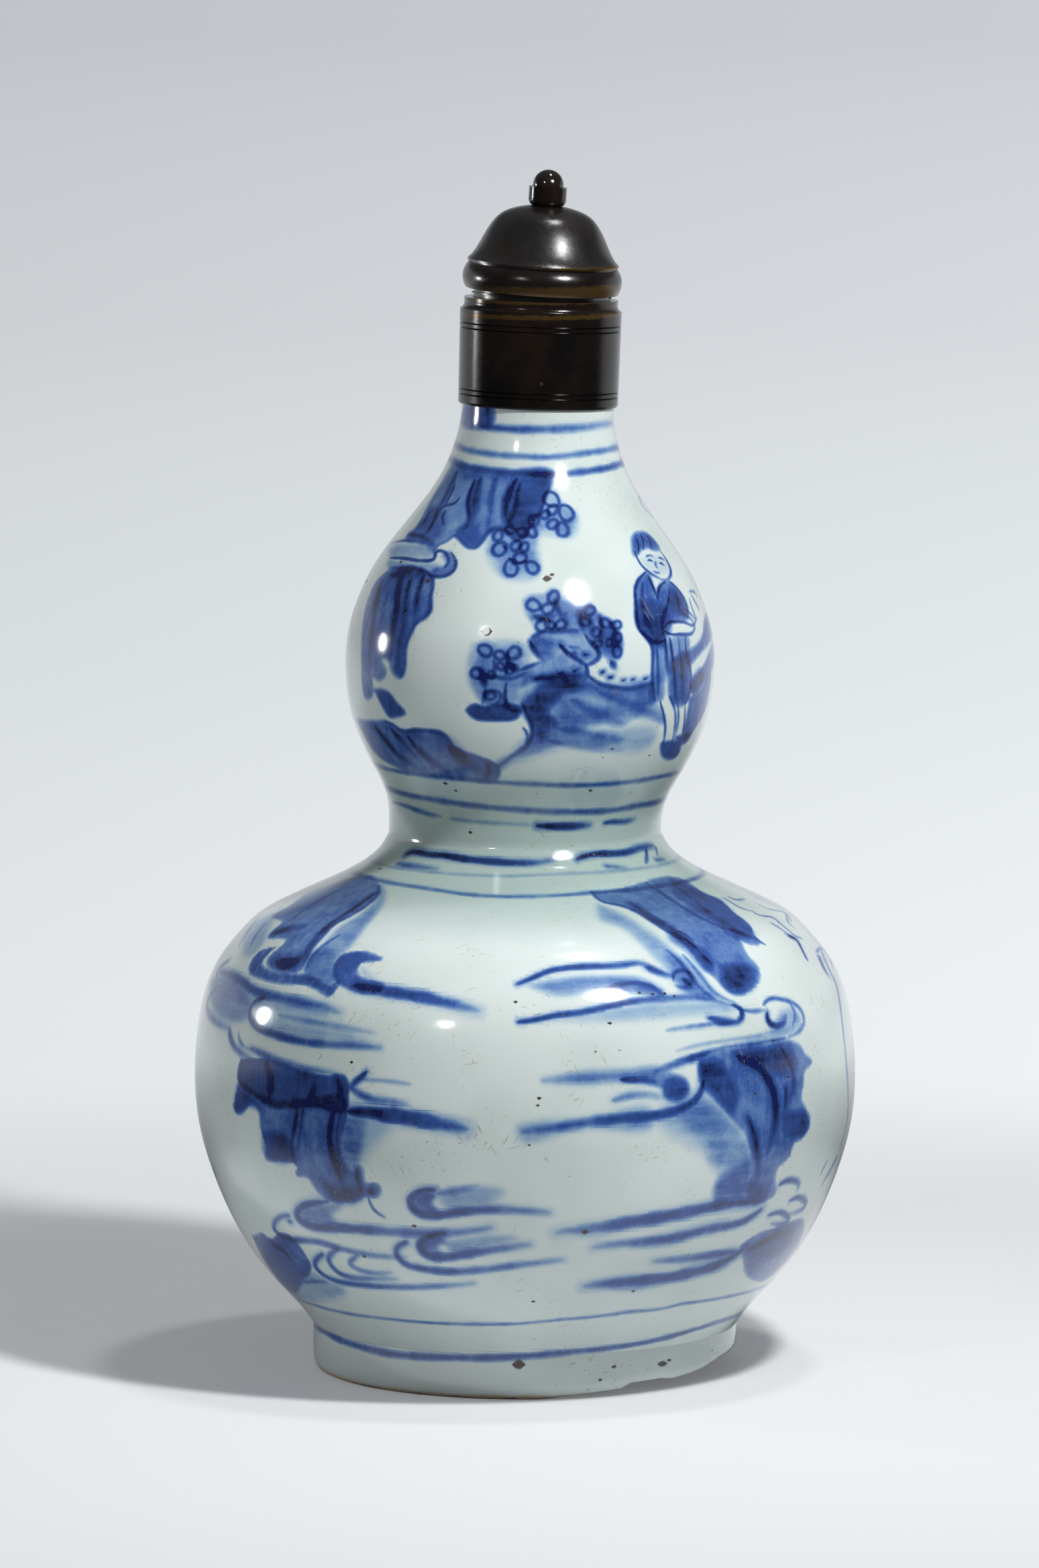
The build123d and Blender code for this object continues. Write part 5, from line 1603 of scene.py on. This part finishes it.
# The fittings keep their solids. Their patina is rubbed through in bands: from which end of the
# piece, how far from it, half the band's width and its strength.
bronze = {
    "dark": linear(10, 8, 8),
    "brown": linear(28, 20, 15),
    "worn": linear(112, 86, 42),
    "coarseNoise": (60.0, 6.0, 0.65),
    "fineNoise": (6.0, 0.7),
    "shadeRange": (0.36, 0.68),
    "wornFrom": 0.42,
    "wornTo": 0.56,
    "uneven": 2.2,
    "bandCore": 0.35,
    "metallic": (0.94, 0.06),
    "roughSpread": 0.16,
    "relief": (0.2, 0.12),
}
patinas = {
    "cap_dome": {
        "finish": "domePatina", "worn": 0.02, "grain": 600.0, "roughness": 0.27, "ior": 1.85,
        "rubbed": [("foot", 0.5, 0.9, 0.9)],
    },
    "cap_rim_ring": {
        "finish": "rimPatina", "worn": 0.04, "grain": 600.0, "roughness": 0.2, "ior": 1.6,
        "rubbed": [("foot", 1.8, 2.4, 0.4), ("top", -0.3, 0.6, 0.5)],
    },
    "collar": {
        "finish": "collarPatina", "worn": 0.0, "grain": 600.0, "roughness": 0.16, "ior": 1.5,
        "rubbed": [("top", -0.7, 0.8, 0.35), ("top", -4.9, 0.8, 0.5), ("foot", 0.3, 0.4, 0.25)],
    },
    "finial_ball": {"finish": "ballPatina", "worn": 0.02, "grain": 800.0, "roughness": 0.13, "ior": 1.85},
    "finial_cup": {"finish": "cupPatina", "worn": 0.02, "grain": 800.0, "roughness": 0.14, "ior": 1.5},
    "finial_washer": {"finish": "washerPatina", "worn": 0.06, "grain": 800.0, "roughness": 0.2, "ior": 1.85},
    "cap_thread_ring": {"finish": "threadPatina", "worn": 0.06, "grain": 800.0, "roughness": 0.24, "ior": 1.85},
    "screw_nipple": {"finish": "nipplePatina", "worn": 0.08, "grain": 800.0, "roughness": 0.24, "ior": 1.85},
}
# Small pieces in two mixed tones.
twoTones = {
    "set_pin": {
        "finish": "pinBrass", "tones": (linear(196, 158, 92), linear(120, 92, 54)), "noise": (700.0, 4.0),
        "range": (0.4, 0.66), "metallic": 1.0, "roughness": 0.28, "relief": (0.3, 0.1),
    },
    "seal_disc": {
        "finish": "sealLeather", "tones": (linear(112, 82, 56), linear(64, 44, 32)), "noise": (220.0, 5.0),
        "range": (0.35, 0.7), "metallic": 0.0, "roughness": 0.72, "relief": (0.5, 0.2), "creases": 900.0,
    },
    "neck_cement": {
        "finish": "neckCement", "tones": (linear(190, 182, 164), linear(140, 132, 118)), "noise": (900.0, 6.0, 0.7),
        "range": (0.3, 0.7), "metallic": 0.0, "roughness": 0.88, "relief": (0.6, 0.3),
    },
}


def patina(nodeName, facts):
    finish, tree, surface = newFinish(facts["finish"])
    coarse = mottle(tree, *bronze["coarseNoise"])
    fine = mottle(tree, facts["grain"], *bronze["fineNoise"])
    height = partsOf(tree, objectPlace(tree))["Z"]
    uneven = scaled(tree, sums(tree, "SUBTRACT", fine, 0.5), bronze["uneven"] * mm, height)
    shade = blended(tree, eased(tree, coarse, *bronze["shadeRange"]), bronze["dark"], bronze["brown"])
    low, high = bronze["wornFrom"] - facts["worn"], bronze["wornTo"] - facts["worn"]
    worn = [eased(tree, product(tree, coarse, fine), low, high)]
    bottom, top = (corner[2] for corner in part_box(nodeName))
    for end, beyond, half, strength in facts.get("rubbed", []):
        middle = (top if end == "top" else bottom) + beyond * mm
        away = sums(tree, "ABSOLUTE", sums(tree, "SUBTRACT", uneven, middle))
        worn.append(eased(tree, away, half * bronze["bandCore"] * mm, half * mm, strength, 0.0))
    worn = highest(tree, worn)
    give(tree, surface.inputs["Base Color"], blended(tree, worn, shade, bronze["worn"]))
    give(tree, surface.inputs["Metallic"], scaled(tree, worn, *bronze["metallic"]))
    surface.inputs["IOR"].default_value = facts["ior"]
    spread = bronze["roughSpread"]
    give(tree, surface.inputs["Roughness"], scaled(tree, fine, spread, facts["roughness"] - spread / 2.0))
    relief(tree, surface, sums(tree, "ADD", fine, coarse), *bronze["relief"])
    return finish


def twoTone(facts):
    finish, tree, surface = newFinish(facts["finish"])
    noise = mottle(tree, *facts["noise"])
    colour = blended(tree, eased(tree, noise, *facts["range"]), *facts["tones"])
    give(tree, surface.inputs["Base Color"], colour)
    surface.inputs["Metallic"].default_value = facts["metallic"]
    surface.inputs["Roughness"].default_value = facts["roughness"]
    height = cells(tree, facts["creases"]) if "creases" in facts else noise
    relief(tree, surface, height, *facts["relief"])
    return finish


def dress(nodeName, finish):
    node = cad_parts[nodeName]
    if len(node.data.materials) == 0:
        node.data.materials.append(finish)
    for slot in node.material_slots:
        slot.material = finish


for nodeName, facts in patinas.items():
    dress(nodeName, patina(nodeName, facts))
for nodeName, facts in twoTones.items():
    dress(nodeName, twoTone(facts))
print("fittings finished")


# The table top runs far back and turns from lit white into the pale grey of the room: a painted glow that falls off
# like light with distance.
studio = {
    "floorHalf": 30.0,
    "floorBack": 0.7,
    "floorWhite": linear(203, 205, 207),
    "floorRoughness": 0.9,
    "distances": [
        (0.0, linear(236, 238, 241)), (0.067, linear(232, 236, 239)), (0.171, linear(222, 227, 230)),
        (0.397, linear(209, 213, 217)), (1.0, linear(197, 200, 205)),
    ],
    "farthest": 12.0,
    "sideTilt": 0.95,
    "tiltLimits": (0.94, 1.06),
    "cameraPaint": (0.26, 0.62, 0.17),
    "mirrorPaint": (0.14, 0.32),
    "frontShade": 0.06,
    "frontRange": (0.1, 0.9),
    "worldTone": linear(198, 201, 206),
    "worldBack": (-0.2, 0.7, 0.085, 0.2),
    "worldTop": (0.25, 0.9, 0.0, 0.36),
    "mirroredTop": -0.8,
    "behindRange": (0.0, 0.6),
    "lowRange": (0.15, 0.35, 1.0, 0.0),
    "aim": (0.0, 0.0, 0.16),
}
lamps = {
    "key": {"place": (0.23, -0.30, 0.56), "size": 0.06, "power": 10.0},
    "keyGlow": {"place": (0.231, -0.301, 0.562), "size": 0.13, "power": 1.2},
    "left": {"place": (-1.14, 0.31, 0.34), "size": 0.15, "power": 1.3},
    "ring": {"place": (-0.96, -1.68, 1.18), "size": 0.18, "power": 0.6},
    "overhead": {"place": (0.3, -0.04, 1.5), "size": 0.15, "power": 1.9},
}


def addFloor():
    clearSelection()
    half = studio["floorHalf"]
    bpy.ops.mesh.primitive_plane_add(size=half * 2.0, location=(0.0, half * studio["floorBack"], 0.0))
    floor = bpy.context.object
    floor.name = "floor"
    bpy.ops.object.transform_apply(location=True, rotation=True, scale=True)
    finish, tree, surface = newFinish("tableTop")
    surface.inputs["Base Color"].default_value = studio["floorWhite"]
    surface.inputs["Roughness"].default_value = studio["floorRoughness"]
    surface.inputs["Specular IOR Level"].default_value = 0.0
    spots = partsOf(tree, objectPlace(tree))
    squared = scaled(tree, spots["X"], spots["X"], product(tree, spots["Y"], spots["Y"]))
    distance = sums(tree, "SQRT", squared)
    glow = tree.nodes.new("ShaderNodeEmission")
    share = sums(tree, "DIVIDE", distance, studio["farthest"], clamp=True)
    tree.links.new(ramped(tree, share, studio["distances"]), glow.inputs["Color"])
    # The glow is painted darker to the left and lighter to the right, a painted shade across the room.
    sideways = sums(tree, "DIVIDE", spots["X"], sums(tree, "ADD", distance, -view["eye"][1] * mm))
    least, most = studio["tiltLimits"]
    tilt = sums(tree, "MINIMUM", scaled(tree, sideways, studio["sideTilt"], 1.0), most)
    tilt = sums(tree, "MAXIMUM", tilt, least)
    # The lit table is small, and the room in front and at the sides is dark, which only reflections show.
    seen = tree.nodes.new("ShaderNodeLightPath")
    mirrored = sums(tree, "MAXIMUM", seen.outputs["Is Glossy Ray"], seen.outputs["Is Transmission Ray"])
    dark = eased(tree, spots["Y"], *studio["frontRange"], 1.0 - studio["frontShade"], 0.0)
    strength = product(tree, tilt, sums(tree, "SUBTRACT", 1.0, product(tree, dark, mirrored)))
    tree.links.new(strength, glow.inputs["Strength"])
    # Near the vase the camera sees a share of the glow over the lit table too: painted light that lifts the cast
    # shadow.
    cameraShare = product(tree, eased(tree, distance, *studio["cameraPaint"]), seen.outputs["Is Camera Ray"])
    mirrorShare = product(tree, eased(tree, distance, *studio["mirrorPaint"]), mirrored)
    mixed = tree.nodes.new("ShaderNodeMixShader")
    tree.links.new(sums(tree, "MAXIMUM", cameraShare, mirrorShare), mixed.inputs["Fac"])
    tree.links.new(surface.outputs["BSDF"], mixed.inputs[1])
    tree.links.new(glow.outputs["Emission"], mixed.inputs[2])
    end = [node for node in tree.nodes if node.type == "OUTPUT_MATERIAL"][0]
    tree.links.new(mixed.outputs["Shader"], end.inputs["Surface"])
    floor.data.materials.append(finish)


def addWorld():
    world = bpy.data.worlds.new("studioAir")
    bpy.context.scene.world = world
    world.use_nodes = True
    tree = world.node_tree
    air = tree.nodes["Background"]
    air.inputs["Color"].default_value = studio["worldTone"]
    parts = partsOf(tree, tree.nodes.new("ShaderNodeTexCoord").outputs["Generated"])
    # The camera, and reflections low behind, see the room in the floor's far colour.
    seen = tree.nodes.new("ShaderNodeLightPath")
    mirrored = sums(tree, "MAXIMUM", seen.outputs["Is Glossy Ray"], seen.outputs["Is Transmission Ray"])
    behind = eased(tree, parts["Y"], *studio["behindRange"])
    behindLow = product(tree, behind, eased(tree, parts["Z"], *studio["lowRange"]))
    painted = sums(tree, "MAXIMUM", seen.outputs["Is Camera Ray"], product(tree, mirrored, behindLow))
    topLight = eased(tree, parts["Z"], *studio["worldTop"])
    topLight = product(tree, topLight, scaled(tree, mirrored, studio["mirroredTop"], 1.0))
    lit = sums(tree, "ADD", eased(tree, parts["Y"], *studio["worldBack"]), topLight)
    give(tree, air.inputs["Strength"], scaled(tree, painted, sums(tree, "SUBTRACT", 1.0, lit), lit))


def addLamp(name, facts):
    # Each lamp is as strong near as far, so the table stays evenly lit.
    data = bpy.data.lights.new(name, "AREA")
    data.shape = "DISK"
    data.size = facts["size"]
    data.energy = facts["power"]
    data.use_nodes = True
    tree = data.node_tree
    falloff = tree.nodes.new("ShaderNodeLightFalloff")
    falloff.inputs["Strength"].default_value = 1.0
    tree.links.new(falloff.outputs["Constant"], tree.nodes["Emission"].inputs["Strength"])
    lamp = bpy.data.objects.new(name, data)
    bpy.context.collection.objects.link(lamp)
    lamp.location = facts["place"]
    lamp.rotation_mode = "QUATERNION"
    lamp.rotation_quaternion = (lamp.location - Vector(studio["aim"])).to_track_quat("Z", "Y")


addFloor()
addWorld()
for name, facts in lamps.items():
    addLamp(name, facts)
print("studio ready")
